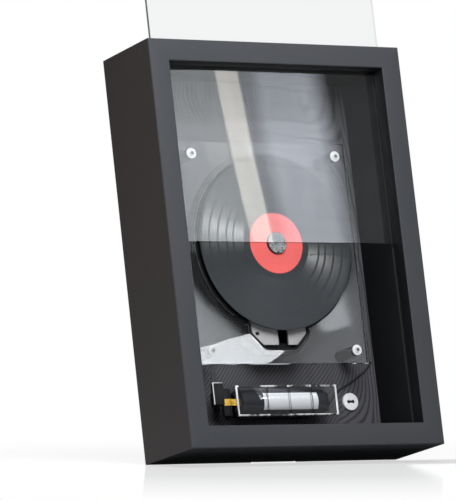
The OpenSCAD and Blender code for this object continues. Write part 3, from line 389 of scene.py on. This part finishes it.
# ---------------------------------------------------------------- frame and back board
def paint_material():
    """Satin slate paint on smooth board: faint orange peel, and painted shade that darkens it inside the
    window.
    """
    m, t = material("frame_paint")
    past_edge, past_front = 0.0002, 0.0005
    tone = t.ramp(t.noise(9, 5.0, 0.6), [(0.3, (0.052, 0.055, 0.061)), (0.7, (0.060, 0.062, 0.068))])
    x, y, z = t.axes()
    # Painted shade: the walls inside the window take a far darker tone, where shade falls.
    inside = t.times(t.below(t.size(x), WINDOW_X + past_edge),
                     t.above(z, WINDOW_LOW - past_edge),
                     t.below(z, WINDOW_HIGH + past_edge),
                     t.above(y, FRONT_Y + past_front))
    shade = t.mix(inside, tone, (0.0095, 0.010, 0.011))
    uneven = t.add("MapRange", {"Value": t.noise(40, 4.0, 0.6), "To Min": 0.46, "To Max": 0.56})
    t.surface(t.principled(shade, uneven, bump=t.bump(t.noise(520, 2.0), 0.08, 0.0002),
                           Specular_IOR_Level=0.12))
    return m


def board_material():
    """Matt printed board with fine wavy contour lines, like the grain of flat sawn wood."""
    m, t = material("back_board_print")
    pitch = 0.0031     # from line to line
    sway = 0.044       # how far the lines swing aside
    sway_rate = 23.0   # radians of the swing for each metre up
    sway_from = 0.050  # the height where it starts
    warp_by = 0.030    # how far noise bends them
    x, _, z = t.axes()
    straighter = t.ramp(t.times(x, 10.0), [(0.5, 1.0), (0.80, 0.05)])
    wave = t.math("SINE", t.times(t.minus(z, sway_from), sway_rate))
    lean = t.times(wave, sway, straighter)
    warp = t.times(t.noise(9.0, 2.0, 0.4), warp_by)
    line = t.math("PINGPONG", t.times(t.plus(t.minus(x, lean), warp), 1.0 / pitch), 0.5)
    ink = t.ramp(line, [(0.0, 0.0), (0.10, 0.1), (0.26, 1.0), (0.5, 1.0)])
    fibre = t.noise(1.0, 4.0, 0.6, t.coord((260, 260, 40)))
    base = t.ramp(fibre, [(0.3, (0.078, 0.077, 0.085)), (0.7, (0.094, 0.092, 0.102))])
    tone = t.mix(ink, (0.034, 0.033, 0.037), base)
    t.surface(t.principled(tone, 0.6, bump=t.bump(ink, 0.2, 0.0003), Specular_IOR_Level=0.25))
    return m


def felt_material():
    """Black felt in the panel's grooves."""
    m, t = material("felt")
    fuzz = t.noise(2400, 4.0, 0.8)
    tone = t.ramp(fuzz, [(0.3, (0.003, 0.003, 0.004)), (0.7, (0.011, 0.011, 0.012))])
    t.surface(t.principled(tone, 0.95, bump=t.bump(fuzz, 0.5, 0.0004), Sheen_Weight=0.08))
    return m


# ---------------------------------------------------------------- disc and drive
def disc_material():
    """Black disc with fine grooves, whose sheen fans out, and matt rings between its tracks, lightened by
    painted sheen.
    """
    m, t = material("disc_black")
    # All of these are shares of the disc's radius
    grooves_from, grooves_to, edge_soft = 0.425, 0.972, 0.007
    rings = (0.567, 0.655, 0.767, 0.878)
    ring_half, ring_soft = 0.009, 0.013
    out = t.times(t.from_disc_centre(), 1.0 / DISC_R)
    stops = [(0.0, 0.0), (grooves_from, 0.0), (grooves_from + edge_soft, 1.0)]
    for ring in rings:
        stops += [(ring - ring_soft, 1.0), (ring - ring_half, 0.0)]
        stops += [(ring + ring_half, 0.0), (ring + ring_soft, 1.0)]
    stops += [(grooves_to - edge_soft, 1.0), (grooves_to, 0.0)]
    track = t.ramp(out, stops)
    grain_rate = 1400.0  # the grain changes only from the centre outwards, like the grooves
    winding = t.add("CombineXYZ", {0: t.times(t.from_disc_centre(), grain_rate)})
    grain = t.noise(1.0, 2.0, 0.6, winding)
    tone = t.ramp(grain, [(0.3, (0.025, 0.028, 0.031)), (0.7, (0.028, 0.031, 0.034))])
    round_axis = t.add("Tangent", direction_type="RADIAL", axis="Y")
    grooved = t.principled(tone, 0.34, Specular_IOR_Level=0.28, Anisotropic=0.96, Anisotropic_Rotation=0.25,
                           Tangent=round_axis)
    # Painted sheen: the matt rings' tone is nearly doubled to match the light that the grooved tracks
    # mirror.
    matt = t.principled(t.mix(1.0, tone, (1.95, 1.95, 1.95), "MULTIPLY"), 0.6, Specular_IOR_Level=0.0)
    t.surface(t.blend(track, matt, grooved))
    return m


def label_material():
    """Coral paper label with a fine fibre and a printed ring near its edge."""
    m, t = material("label_red")
    inner = t.ramp(t.times(t.from_disc_centre(), 1.0 / LABEL_R), [(0.0, 1.0), (0.965, 1.0), (0.985, 0.0)])
    fibre = t.ramp(t.noise(700, 4.0, 0.7), [(0.3, (0.84, 0.128, 0.118)), (0.7, (0.92, 0.152, 0.142))])
    tone = t.mix(inner, (0.80, 0.10, 0.09), fibre)
    t.surface(t.principled(tone, 0.5, bump=t.bump(t.noise(1500, 2.0), 0.08, 0.0001)))
    return m


def hub_cap_material():
    """Grey moulded cap with dark speckles."""
    m, t = material("hub_cap_grey")
    spots = t.ramp(t.noise(760, 2.0, 0.6), [(0.40, 0.0), (0.47, 1.0)])
    base = t.ramp(t.noise(160), [(0.3, (0.26, 0.275, 0.28)), (0.7, (0.38, 0.395, 0.40))])
    tone = t.mix(spots, (0.03, 0.032, 0.035), base)
    t.surface(t.principled(tone, 0.42, bump=t.bump(spots, 0.15, 0.0001)))
    return m


def head_material():
    """White coated screw heads at the four corners of the plate, with a dark socket that is painted shade.
    """
    m, t = material("white_heads")
    x, _, z = t.axes()
    off_x = t.minus(t.size(x), SCREW_X)
    off_z = t.minus(t.size(t.minus(z, PLATE_Z)), SCREW_UP)
    socket_r, solid_share = 0.0014, 0.7143
    off_screw = t.times(t.length(off_x, off_z), 1.0 / socket_r)
    # Painted shade: dark where the socket's recess lies.
    socket = t.ramp(off_screw, [(solid_share, 1.0), (1.0, 0.0)])
    white = t.ramp(t.noise(300), [(0.3, 0.70), (0.7, 0.80)])
    tone = t.mix(socket, white, (0.10, 0.105, 0.11))
    t.surface(t.principled(tone, 0.35, bump=t.bump(socket, 0.4, 0.0004)))
    return m


def deck_material():
    """Light grey moulded deck with a fine leather-like texture."""
    m, t = material("grey_deck")
    tone = t.ramp(t.noise(60, 4.0, 0.6), [(0.3, (0.37, 0.36, 0.365)), (0.7, (0.47, 0.46, 0.465))])
    t.surface(t.principled(tone, 0.5, bump=t.bump(t.cells(2200), 0.35, 0.0002)))
    return m


def lens_material():
    """Coated lens, violet to blue, turning pale at grazing angles as a painted reflection."""
    m, t = material("lens_glass")
    facing = t.add("LayerWeight", {"Blend": 0.4}, out=1)
    # The tone follows the viewing angle, and its pale end is a painted reflection.
    tone = t.ramp(facing, [(0.0, (0.05, 0.03, 0.16)), (0.6, (0.08, 0.22, 0.42)), (1.0, (0.6, 0.7, 0.8))])
    t.surface(t.principled(tone, 0.04, Coat_Weight=1.0))
    return m


# ---------------------------------------------------------------- battery, button and board
def cell_material():
    """Dark shrink sleeve over a cell, creased along its length, with a bare steel pole at each end."""
    m, t = material("cell_wrap")
    pole_r = 0.0042
    _, y, z = t.axes()
    tone = t.ramp(t.noise(30), [(0.3, (0.011, 0.012, 0.016)), (0.7, (0.022, 0.024, 0.03))])
    crease = t.noise(1.0, 3.0, 0.6, t.coord((900, 60, 60)))
    sleeve = t.principled(tone, 0.45, bump=t.bump(crease, 0.12, 0.0002), Specular_IOR_Level=0.2)
    steel = t.principled(t.ramp(t.noise(300, 2.0), [(0.3, 0.55), (0.7, 0.72)]), 0.3, metallic=1.0)
    off_axis = t.length(t.minus(y, CELL_Y), t.minus(z, CELL_Z))
    bare = t.times(t.above(t.facing(X), 0.9), t.below(off_axis, pole_r))
    t.surface(t.blend(bare, sleeve, steel))
    return m


def band_material():
    """White sleeve band with thin printed lines round it."""
    m, t = material("white_band")
    line_xs, line_half = (-0.0170, 0.0186), 0.00028
    lines = t.near_any(t.axes()[X], line_xs, line_half)
    base = t.ramp(t.noise(45), [(0.3, (0.88, 0.88, 0.89)), (0.7, (0.94, 0.94, 0.95))])
    tone = t.mix(lines, base, (0.16, 0.16, 0.17))
    crease = t.noise(1.0, 3.0, 0.6, t.coord((700, 60, 60)))
    t.surface(t.principled(tone, 0.5, bump=t.bump(crease, 0.1, 0.0002), Specular_IOR_Level=0.25))
    return m


def block_material():
    """Black terminal block, with painted highlights: its rounded upper and left front edges show as white
    lines.
    """
    m, t = material("terminal_black")
    edge_d = 0.00135
    tone = t.ramp(t.noise(60), [(0.3, (0.007, 0.007, 0.008)), (0.7, (0.013, 0.013, 0.014))])
    black = t.principled(tone, 0.35, bump=t.bump(t.noise(1500, 2.0), 0.1, 0.0001), Specular_IOR_Level=0.15)
    nx, ny, nz = t.normal()
    squareness = t.largest(t.size(nx), t.size(ny), t.size(nz))
    on_edge = t.ramp(squareness, [(0.95, 1.0), (0.99, 0.0)])
    front = t.below(t.axes()[Y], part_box("terminal_block")[LOW][Y] + edge_d)
    upper_left = t.above(t.largest(t.times(nx, -1.0), nz), 0.2)
    uneven = t.ramp(t.noise(150, 3.0, 0.6), [(0.34, 0.7), (0.50, 1.0)])
    # Painted highlight on the rounded front edges that face up and to the left.
    share = t.times(on_edge, front, uneven, upper_left)
    t.surface(t.blend(share, black, t.principled((0.93, 0.93, 0.94), 0.2)))
    return m


def pcb_material():
    """Green solder mask over a faint net of tracks, with tinned pads."""
    m, t = material("board_green")
    upright = t.coord((1, 1, 1), (math.pi / 2, 0, 0))
    net = t.add("TexBrick", {"Vector": upright, "Scale": 90.0, "Mortar Size": 0.03,
                             "Color1": (1, 1, 1), "Color2": (1, 1, 1), "Mortar": (0, 0, 0)})
    tracks = t.ramp(net, [(0.4, 0.0), (0.6, 1.0)])
    base = t.ramp(t.noise(50), [(0.3, (0.006, 0.062, 0.022)), (0.7, (0.010, 0.085, 0.032))])
    mask = t.principled(t.mix(tracks, (0.02, 0.15, 0.06), base), 0.3, bump=t.bump(tracks, 0.2, 0.0002))
    pads = t.ramp(t.cells(260), [(0.10, 1.0), (0.13, 0.0)])
    t.surface(t.blend(pads, mask, t.principled((0.75, 0.74, 0.70), 0.3, metallic=1.0)))
    return m


def ribbon_material():
    """Flat ribbon of dark wires, with painted shade in the grooves between them."""
    m, t = material("ribbon")
    wires_each_metre = 790.0
    wires = t.math("PINGPONG", t.times(t.axes()[X], wires_each_metre), 0.5)
    # Painted shade: each wire is lighter at its middle and darker at the grooves between wires.
    tone = t.ramp(wires, [(0.0, (0.012, 0.012, 0.013)), (0.5, (0.05, 0.048, 0.052))])
    t.surface(t.principled(tone, 0.45, bump=t.bump(wires, 0.6, 0.0004)))
    return m


def flex_material():
    """Amber film with copper tracks."""
    m, t = material("flex_film")
    tracks_each_metre = 900.0
    tracks = t.math("PINGPONG", t.times(t.axes()[X], tracks_each_metre), 0.5)
    tone = t.ramp(tracks, [(0.2, (0.42, 0.16, 0.03)), (0.35, (0.20, 0.07, 0.02))])
    t.surface(t.principled(tone, 0.28, bump=t.bump(tracks, 0.2, 0.0002)))
    return m


# ---------------------------------------------------------------- finishes by slot, and some nodes' own
# A plastic or a metal is given by its dark and light tones and its roughness
FINISHES = {
    "frame_paint": paint_material(),
    "bright_steel": metal("bright_steel", (0.50, 0.51, 0.53), (0.68, 0.69, 0.71), 0.24, scratch=0.06),
    "felt": felt_material(),
    "clear_panel": clear("clear_panel", (0.975, 0.98, 0.98), ior=1.80, rim=panel_rim, dusty=0.012),
    "back_board_print": board_material(),
    "rear_cover_plastic": plastic("rear_cover_plastic", (0.014, 0.0145, 0.0155), (0.022, 0.0225, 0.024),
                                  0.55, grain=1100, bump=0.3),
    "dark_screw": metal("dark_screw", (0.015, 0.015, 0.016), (0.03, 0.03, 0.032), 0.35, scratch=0.08),
    "clear_plate": clear("clear_plate", (0.965, 0.97, 0.975), ior=1.32, rim=plate_rim, dusty=0.02),
    "dark_standoff": metal("dark_standoff", (0.02, 0.021, 0.023), (0.04, 0.042, 0.045),
                           0.35, brushed="y", scratch=0.06),
    "white_washer": plastic("white_washer", (0.80, 0.80, 0.80), (0.88, 0.88, 0.88), 0.3, bump=0.05),
    "black_plastic": plastic("black_plastic", (0.005, 0.005, 0.006), (0.012, 0.012, 0.013),
                             0.38, grain=1100, bump=0.2),
    "grey_deck": deck_material(),
    "chassis_steel": metal("chassis_steel", (0.26, 0.27, 0.28), (0.40, 0.41, 0.42),
                           0.33, brushed="x", scratch=0.08),
    "black_rubber": rubber("black_rubber", 0.006),
    "hub_plastic": plastic("hub_plastic", (0.020, 0.021, 0.023), (0.035, 0.037, 0.04), 0.3, bump=0.08),
    "hub_cap_grey": hub_cap_material(),
    "disc_black": disc_material(),
    "label_red": label_material(),
    "lens_glass": lens_material(),
    "brass": metal("brass", (0.40, 0.24, 0.03), (0.52, 0.33, 0.06), 0.30, brushed="z", scratch=0.05),
    "gear_plastic": plastic("gear_plastic", (0.62, 0.60, 0.54), (0.74, 0.72, 0.66),
                            0.4, grain=800, bump=0.08),
    "flex_film": flex_material(),
    "clear_tray": cover_material(),
    "cell_wrap": cell_material(),
    "white_band": band_material(),
    "ribbon": ribbon_material(),
    "lead_rubber": rubber("lead_rubber", 0.005),
    "white_button": plastic("white_button", (0.92, 0.92, 0.92), (0.97, 0.97, 0.97), 0.28, bump=0.04),
    "board_green": pcb_material(),
}
OWN_FINISHES = {
    # The battery tray's dark tint is painted shade.
    "battery_tray": shaded_tray_material(),
    "terminal_block": block_material(),
    "plate_screws": head_material(),
    "stand_bracket": plastic("bracket_black", (0.012, 0.012, 0.013), (0.020, 0.020, 0.022),
                             0.5, grain=1100, bump=0.2, gloss=0.3),
    "deck_bezel": plastic("bezel_black", (0.003, 0.003, 0.0035), (0.006, 0.006, 0.007),
                          0.5, grain=1100, bump=0.1, gloss=0.12),
}


def finish_of(node):
    """The material of a CAD node."""
    return OWN_FINISHES.get(node, FINISHES[SLOT_OF[node]])


for node in SLOT_OF:
    if node in NODES:
        NODES[node].data.materials.clear()
        NODES[node].data.materials.append(finish_of(node))


# ---------------------------------------------------------------- pieces made here
def piece(name, bm, mat, node):
    """Turns a bmesh into a piece that rides on the body of a CAD node."""
    me = bpy.data.meshes.new(name)
    bm.to_mesh(me)
    bm.free()
    me.materials.append(mat)
    ob = bpy.data.objects.new(name, me)
    bpy.context.scene.collection.objects.link(ob)
    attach(ob, BODY_OF[node])
    return ob


def bridge(bm, ring, after, smooth=False):
    """Faces between two closed rings of as many points."""
    for i in range(len(ring)):
        j = (i + 1) % len(ring)
        bm.faces.new((ring[i], ring[j], after[j], after[i])).smooth = smooth


def curves_on(face, made):
    """True where a face is one facet of a round wall, so that it meets a neighbour at a slight angle."""
    for edge in face.edges:
        if len(edge.link_faces) == 2 and not made.intersection(edge.link_faces):
            if math.radians(0.1) < edge.calc_face_angle() < math.radians(30):
                return True
    return False


def rounded(node, width, segments=2, along=None, longer=0.0):
    """A copy of a CAD solid with its outer edges rounded, shown in its place.

    along keeps to edges of one direction, and longer leaves out short ones.
    """
    least = math.radians(40)
    bm = bmesh.new()
    bm.from_mesh(NODES[node].data)
    bmesh.ops.remove_doubles(bm, verts=bm.verts, dist=1e-6)
    bmesh.ops.dissolve_limit(bm, angle_limit=math.radians(0.3), verts=bm.verts, edges=bm.edges)
    edges = []
    for edge in bm.edges:
        if len(edge.link_faces) != 2 or edge.calc_face_angle_signed() < least:
            continue
        way = (edge.verts[1].co - edge.verts[0].co).normalized()
        if (along is None or abs(way[along]) > 0.999) and edge.calc_length() > longer:
            edges.append(edge)
    bevel = bmesh.ops.bevel(bm, geom=edges, offset=width, segments=segments, profile=0.5, affect="EDGES",
                            clamp_overlap=longer == 0.0)
    made = set(bevel["faces"])
    for face in bm.faces:
        face.smooth = face in made or curves_on(face, made)
    ob = piece(node + "_rounded", bm, finish_of(node), node)
    ob.data.set_sharp_from_angle(angle=math.radians(32))
    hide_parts(node)


def cover_bead():
    """Round bead along the four front edges of the battery cover, just inside its skin, which carries
    painted highlights and shade.
    """
    bar, skin, sides = 0.0007, 0.0001, 10
    low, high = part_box("battery_cover")
    inset = bar + skin
    front = low[Y] + RIB_H + inset
    half_x = COVER_HALF_X - inset
    half_z = (high[Z] - low[Z]) / 2 - RIB_H - inset
    centre_z = (low[Z] + high[Z]) / 2
    bm = bmesh.new()
    loops = []
    for side, level in ((-1, -1), (1, -1), (1, 1), (-1, 1)):
        loop = []
        for i in range(sides):
            turn = 2 * math.pi * i / sides
            out = bar * math.cos(turn)
            x = COVER_X + side * (half_x + out)
            z = centre_z + level * (half_z + out)
            loop.append(bm.verts.new((x, front + bar * math.sin(turn), z)))
        loops.append(loop)
    for loop, after in zip(loops, loops[1:] + loops[:1]):
        bridge(bm, loop, after, smooth=True)
    bmesh.ops.recalc_face_normals(bm, faces=bm.faces)
    piece("cover_bead", bm, bead_material(), "battery_cover")


def button_mark():
    """Black mark just over the button's face: a short bar with a round dot at each end."""
    half, dot, waist, steps = 0.0018, 0.0012, 0.0008, 14
    face = Vector((middle("power_button", X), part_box("power_button")[LOW][Y], middle("power_button", Z)))
    pinch = math.asin(waist / dot)
    outline = []
    for centre, first in ((half, -math.pi + pinch), (-half, pinch)):
        for i in range(steps + 1):
            turn = first + i * (2 * math.pi - 2 * pinch) / steps
            outline.append((centre + dot * math.cos(turn), dot * math.sin(turn)))
    bm = bmesh.new()
    rings = []
    for wide, tall, out in ((1.0, 1.0, 0.00002), (0.96, 0.86, 0.00009), (0.96, 0.70, 0.00005)):
        rings.append([bm.verts.new(face + Vector((x * wide, -out, z * tall))) for x, z in outline])
    for ring, after in zip(rings, rings[1:]):
        bridge(bm, ring, after)
    bm.faces.new(rings[-1])
    bmesh.ops.recalc_face_normals(bm, faces=bm.faces)
    piece("button_mark", bm, FINISHES["black_plastic"], "power_button")


EDGE_R = 0.0004
for side in ("left", "right"):
    rounded(f"frame_{side}_board", EDGE_R, along=Z)
for side in ("top", "bottom"):
    rounded(f"frame_{side}_board", EDGE_R, along=X)
rounded("battery_cover", EDGE_R, longer=0.005)
rounded("terminal_block", 0.0006, segments=3)
rounded("power_button", EDGE_R, segments=3)
button_mark()
cover_bead()

# ---------------------------------------------------------------- camera, solved from the frame's corners
SENSOR_MM = 36.0
PHOTO_PX = 500.0
FOCAL_PX = 4289.95
CAMERA = Vector((-1.54312, -2.40529, -0.41034))
RIGHT = Vector((0.8534, -0.51004, -0.10753))
UP = Vector((-0.0077, -0.21862, 0.97578))
AHEAD = Vector((0.5212, 0.8319, 0.1905))


def make_camera():
    """The photo's camera."""
    data = bpy.data.cameras.new("camera")
    data.sensor_fit = "AUTO"
    data.sensor_width = SENSOR_MM
    data.lens = SENSOR_MM * FOCAL_PX / PHOTO_PX
    data.clip_start = 0.05
    data.clip_end = 50.0
    ob = bpy.data.objects.new("camera", data)
    bpy.context.scene.collection.objects.link(ob)
    ob.matrix_world = Matrix.Translation(CAMERA) @ Matrix((RIGHT, UP, -AHEAD)).transposed().to_4x4()
    bpy.context.scene.camera = ob


# ---------------------------------------------------------------- floor
def floor_point(x, y, up=0.0):
    """A point of the floor, which passes under the rear bottom edge of the leaning frame."""
    back = y - BACK_Y
    return Vector((x, BACK_Y + back * math.cos(LEAN) - up * math.sin(LEAN),
                   back * math.sin(LEAN) + up * math.cos(LEAN)))


def quad(name, corners, mat):
    """A flat piece of the stage."""
    me = bpy.data.meshes.new(name)
    me.from_pydata([tuple(c) for c in corners], [], [tuple(range(len(corners)))])
    me.materials.append(mat)
    ob = bpy.data.objects.new(name, me)
    bpy.context.scene.collection.objects.link(ob)
    return ob


def floor_material():
    """Pale glossy table: it keeps the shadow near the frame, fades to white, and is clear from below."""
    m, t = material("stage_floor")
    seen = t.looked_at()
    distance = t.add("VectorMath", {0: t.add("TexCoord", out=3)}, out=1, operation="LENGTH")
    far = t.ramp(distance, [(0.22, 0.0), (0.55, 1.0)])
    pale = t.add("AddShader", {0: t.glow((1, 1, 1), t.times(seen, 0.84)),
                               1: t.add("BsdfDiffuse", {"Color": (0.20, 0.20, 0.20)})})
    near = t.blend(0.28, pale, t.add("BsdfGlossy", {"Color": (1.0, 1.0, 1.0), "Roughness": 0.09}))
    top = t.blend(far, near, t.glow((1, 1, 1), seen))
    from_below = t.add("NewGeometry", out=6)
    t.surface(t.blend(from_below, top, t.see_through()))
    return m


def make_floor():
    """One flat sheet, level with the frame's rear bottom edge."""
    reach, back = 2.2, 1.4
    corners = [floor_point(-reach, -reach), floor_point(reach, -reach),
               floor_point(reach, back), floor_point(-reach, back)]
    quad("stage_floor", corners, floor_material())


# ---------------------------------------------------------------- cards that the clear sheets mirror
def card_material(name, colour, strength):
    """An even glow. Cards aren't sampled as lamps, because only mirrors see them."""
    m, t = material(name)
    m.cycles.emission_sampling = "NONE"
    t.surface(t.glow(colour, strength))
    return m


def soft_card_material(name, colour, strength, soft):
    """A glow that fades out towards the edges of its card, over a share of its width."""
    m, t = material(name)
    m.cycles.emission_sampling = "NONE"
    shares = []
    for place in t.across():
        shares.append(t.ramp(t.math("PINGPONG", place, 0.5), [(0.0, 0.0), (soft, 1.0)], "EASE"))
    t.surface(t.blend(t.times(*shares), t.see_through(), t.glow(colour, strength)))
    return m


def room_material():
    """What the panel mirrors: a pale wall at the left, a bright slanted window bar, and a cool wall."""
    m, t = material("stage_room")
    m.cycles.emission_sampling = "NONE"
    scale = 0.16  # brings the glows near 1, because a ramp's colours stay there
    kept = 0.88   # the share of the light that the streaks and the rungs leave
    left, bar, gap, right = (2.80, 2.95, 3.05), (6.60, 6.50, 6.25), (2.10, 2.20, 2.40), (3.75, 3.95, 4.40)
    walls = ((0.0, left), (0.39, left), (0.405, bar), (0.51, bar), (0.525, gap), (0.56, gap),
             (0.64, right), (1.0, right))
    u, v = t.across()
    place = t.add("TexCoord", out=2)
    streaks = t.noise(1.0, 3.0, 0.6, t.add("Mapping", {"Vector": place, "Scale": (16, 3, 1)}))
    wobble = t.plus(u, t.times(t.minus(streaks, 0.5), 0.012))
    tone = t.ramp(wobble, [(at, tuple(c * scale for c in glow)) for at, glow in walls])
    level = t.ramp(v, [(0.0, 0.90), (0.3, 0.95), (0.69, 1.0), (0.715, 0.86), (0.88, 0.84), (1.0, 0.74)])
    uneven = t.ramp(streaks, [(0.25, 0.80), (0.75, 1.0)])
    slant = t.math("PINGPONG", t.plus(t.times(v, 11.0), t.times(u, 1.6)), 0.5)
    rungs = t.ramp(slant, [(0.03, 0.86), (0.07, 1.0)])
    strength = t.times(level, uneven, rungs, 1.0 / scale / kept)
    fade = t.ramp(wobble, [(0.88, 0.0), (0.95, 0.55), (1.0, 1.0)])
    t.surface(t.blend(fade, t.glow(tone, strength), t.see_through()))
    return m


def card(name, corners, mat):
    """A card that only mirrors see: it lights nothing, and casts no shadow."""
    ob = quad(name, corners, mat)
    uv = ob.data.uv_layers.new(name="across")
    for loop, at in zip(uv.data, ((0, 1), (1, 1), (1, 0), (0, 0))):
        loop.uv = at
    ob.visible_camera = False
    ob.visible_diffuse = False
    ob.visible_shadow = False
    ob.visible_transmission = False
    ob.visible_volume_scatter = False


def mirrored(x, y, z, reach):
    """The point that the camera sees mirrored at x, z in a plane that faces the front at y."""
    spot = Vector((x, y, z))
    ray = (spot - CAMERA).normalized()
    return spot + Vector((ray.x, -ray.y, ray.z)) * reach


def mirror_card(name, plane_y, corners, reach, mat):
    """A card mirrored in a front plane. Its corners are where they show on it, from the top left round."""
    card(name, [mirrored(x, plane_y, z, reach) for x, z in corners], mat)


def make_cards():
    """Dark flags, one of them a painted shadow under the frame, the glare that the mount plate mirrors, and
    the room that the panel mirrors.
    """
    flag = card_material("stage_flag", (0.9, 0.95, 1.0), 0.02)
    dim = card_material("stage_dim", (0.95, 0.97, 1.0), 0.30)
    mirror_card("stage_flag_front", -0.020,
                [(-0.40, 0.50), (0.40, 0.50), (0.40, -0.08), (-0.40, -0.08)], 1.7, dim)
    card("stage_flag_side",
         [(-2.2, -0.6, 2.4), (0.6, 3.0, 2.4), (0.6, 3.0, -0.9), (-2.2, -0.6, -0.9)], flag)
    # Painted shadow: a dark card on the floor under the frame, which the underside mirrors in place of the
    # shaded floor.
    under = ((-0.101, 0.034), (0.16, 0.034), (0.13, -0.034), (-0.101, -0.034))
    card("stage_flag_under", [floor_point(x, y, 0.0006) for x, y in under], flag)

    glare = card_material("stage_glare", (0.94, 0.97, 1.0), 35.0)
    mirror_card("stage_glare_low", PLATE_Y,
                [(-0.070, 0.0722), (-0.027, 0.0830), (-0.001, 0.0700), (-0.020, 0.0590), (-0.070, 0.0590)],
                0.66, glare)
    mirror_card("stage_glare_left", PLATE_Y,
                [(-0.080, 0.1350), (-0.056, 0.1080), (-0.022, 0.0790), (-0.080, 0.0600)],
                0.70, soft_card_material("stage_glare_side", (0.92, 0.96, 1.0), 10.5, 0.22))
    mirror_card("stage_glare_step", PLATE_Y,
                [(0.018, 0.0930), (0.056, 0.1200), (0.062, 0.0880), (0.030, 0.0800)],
                0.66, soft_card_material("stage_glare_half", (0.92, 0.96, 1.0), 14.0, 0.30))
    mirror_card("stage_glare_right", PLATE_Y,
                [(-0.015, 0.1020), (0.080, 0.1400), (0.080, 0.0500), (-0.020, 0.0480)],
                0.74, soft_card_material("stage_glare_faint", (0.93, 0.97, 1.0), 3.4, 0.25))
    mirror_card("stage_room", PANEL_Y,
                [(-0.102, 0.2586), (0.0453, 0.2631), (0.0575, 0.1416), (-0.0854, 0.1404)],
                0.9, room_material())


# ---------------------------------------------------------------- lamps and world
def lamp(name, at, toward, size, power, colour=(1, 1, 1)):
    """A square area lamp."""
    data = bpy.data.lights.new(name, "AREA")
    data.shape = "SQUARE"
    data.size = size
    data.energy = power
    data.color = colour
    ob = bpy.data.objects.new(name, data)
    ob.location = at
    ob.rotation_mode = "QUATERNION"
    ob.rotation_quaternion = (Vector(toward) - Vector(at)).to_track_quat("-Z", "Y")
    bpy.context.scene.collection.objects.link(ob)
    ob.visible_camera = False
    return ob


def shine_only_on(source, objects):
    """Keeps a lamp's light to these objects."""
    group = bpy.data.collections.new(source.name + "_reach")
    for ob in objects:
        group.objects.link(ob)
    source.light_linking.receiver_collection = group


def disc_shine(name, at, toward, size, power, spread):
    """A narrow lamp that shows only as a sheen in the disc's grooves. Its spread is in degrees."""
    ob = lamp(name, at, toward, size, power)
    ob.data.spread = math.radians(spread)
    ob.visible_diffuse = False
    shine_only_on(ob, [NODES["disc"]])


def make_lamps():
    """A key at the upper left, a back light, a warm lamp on the left board, and the disc's two sheens."""
    lamp("key", at=(-0.19, -0.60, 0.54), toward=(0.0, 0.0, 0.16), size=0.48, power=7.6,
         colour=(0.96, 0.98, 1.0))
    lamp("back", at=(0.3, 1.8, 1.3), toward=(0.0, 0.0, 0.15), size=1.0, power=14.0)
    side = lamp("side", at=(-1.2, 0.34, 0.36), toward=(-0.1, 0.0, 0.14), size=0.5, power=3.0,
                colour=(1.0, 0.58, 0.30))
    shine_only_on(side, [ob for ob in bpy.data.objects if ob.name.startswith("frame_left_board")])
    disc_shine("sweep", at=(0.083, -0.426, 0.276), toward=(0.027, DISC_Y, DISC_Z - 0.010), size=0.02,
               power=0.0030, spread=6)
    disc_shine("wing", at=(0.045, -0.426, 0.276), toward=(-0.031, DISC_Y, DISC_Z + 0.013), size=0.03,
               power=0.0145, spread=12)


def make_world():
    """White where the camera and mirrors look, and a dim even light on everything else."""
    world = bpy.data.worlds.new("world")
    world.use_nodes = True
    t = Tree(world, "OutputWorld")
    light = t.add("Background", {"Color": (0.97, 0.985, 1.0), "Strength": 0.065})
    white = t.add("Background", {"Color": (1, 1, 1), "Strength": 1.0})
    t.surface(t.blend(t.looked_at(), light, white))
    bpy.context.scene.world = world


make_floor()
make_cards()
make_lamps()
make_world()
make_camera()
bpy.context.scene.view_settings.view_transform = "Standard"
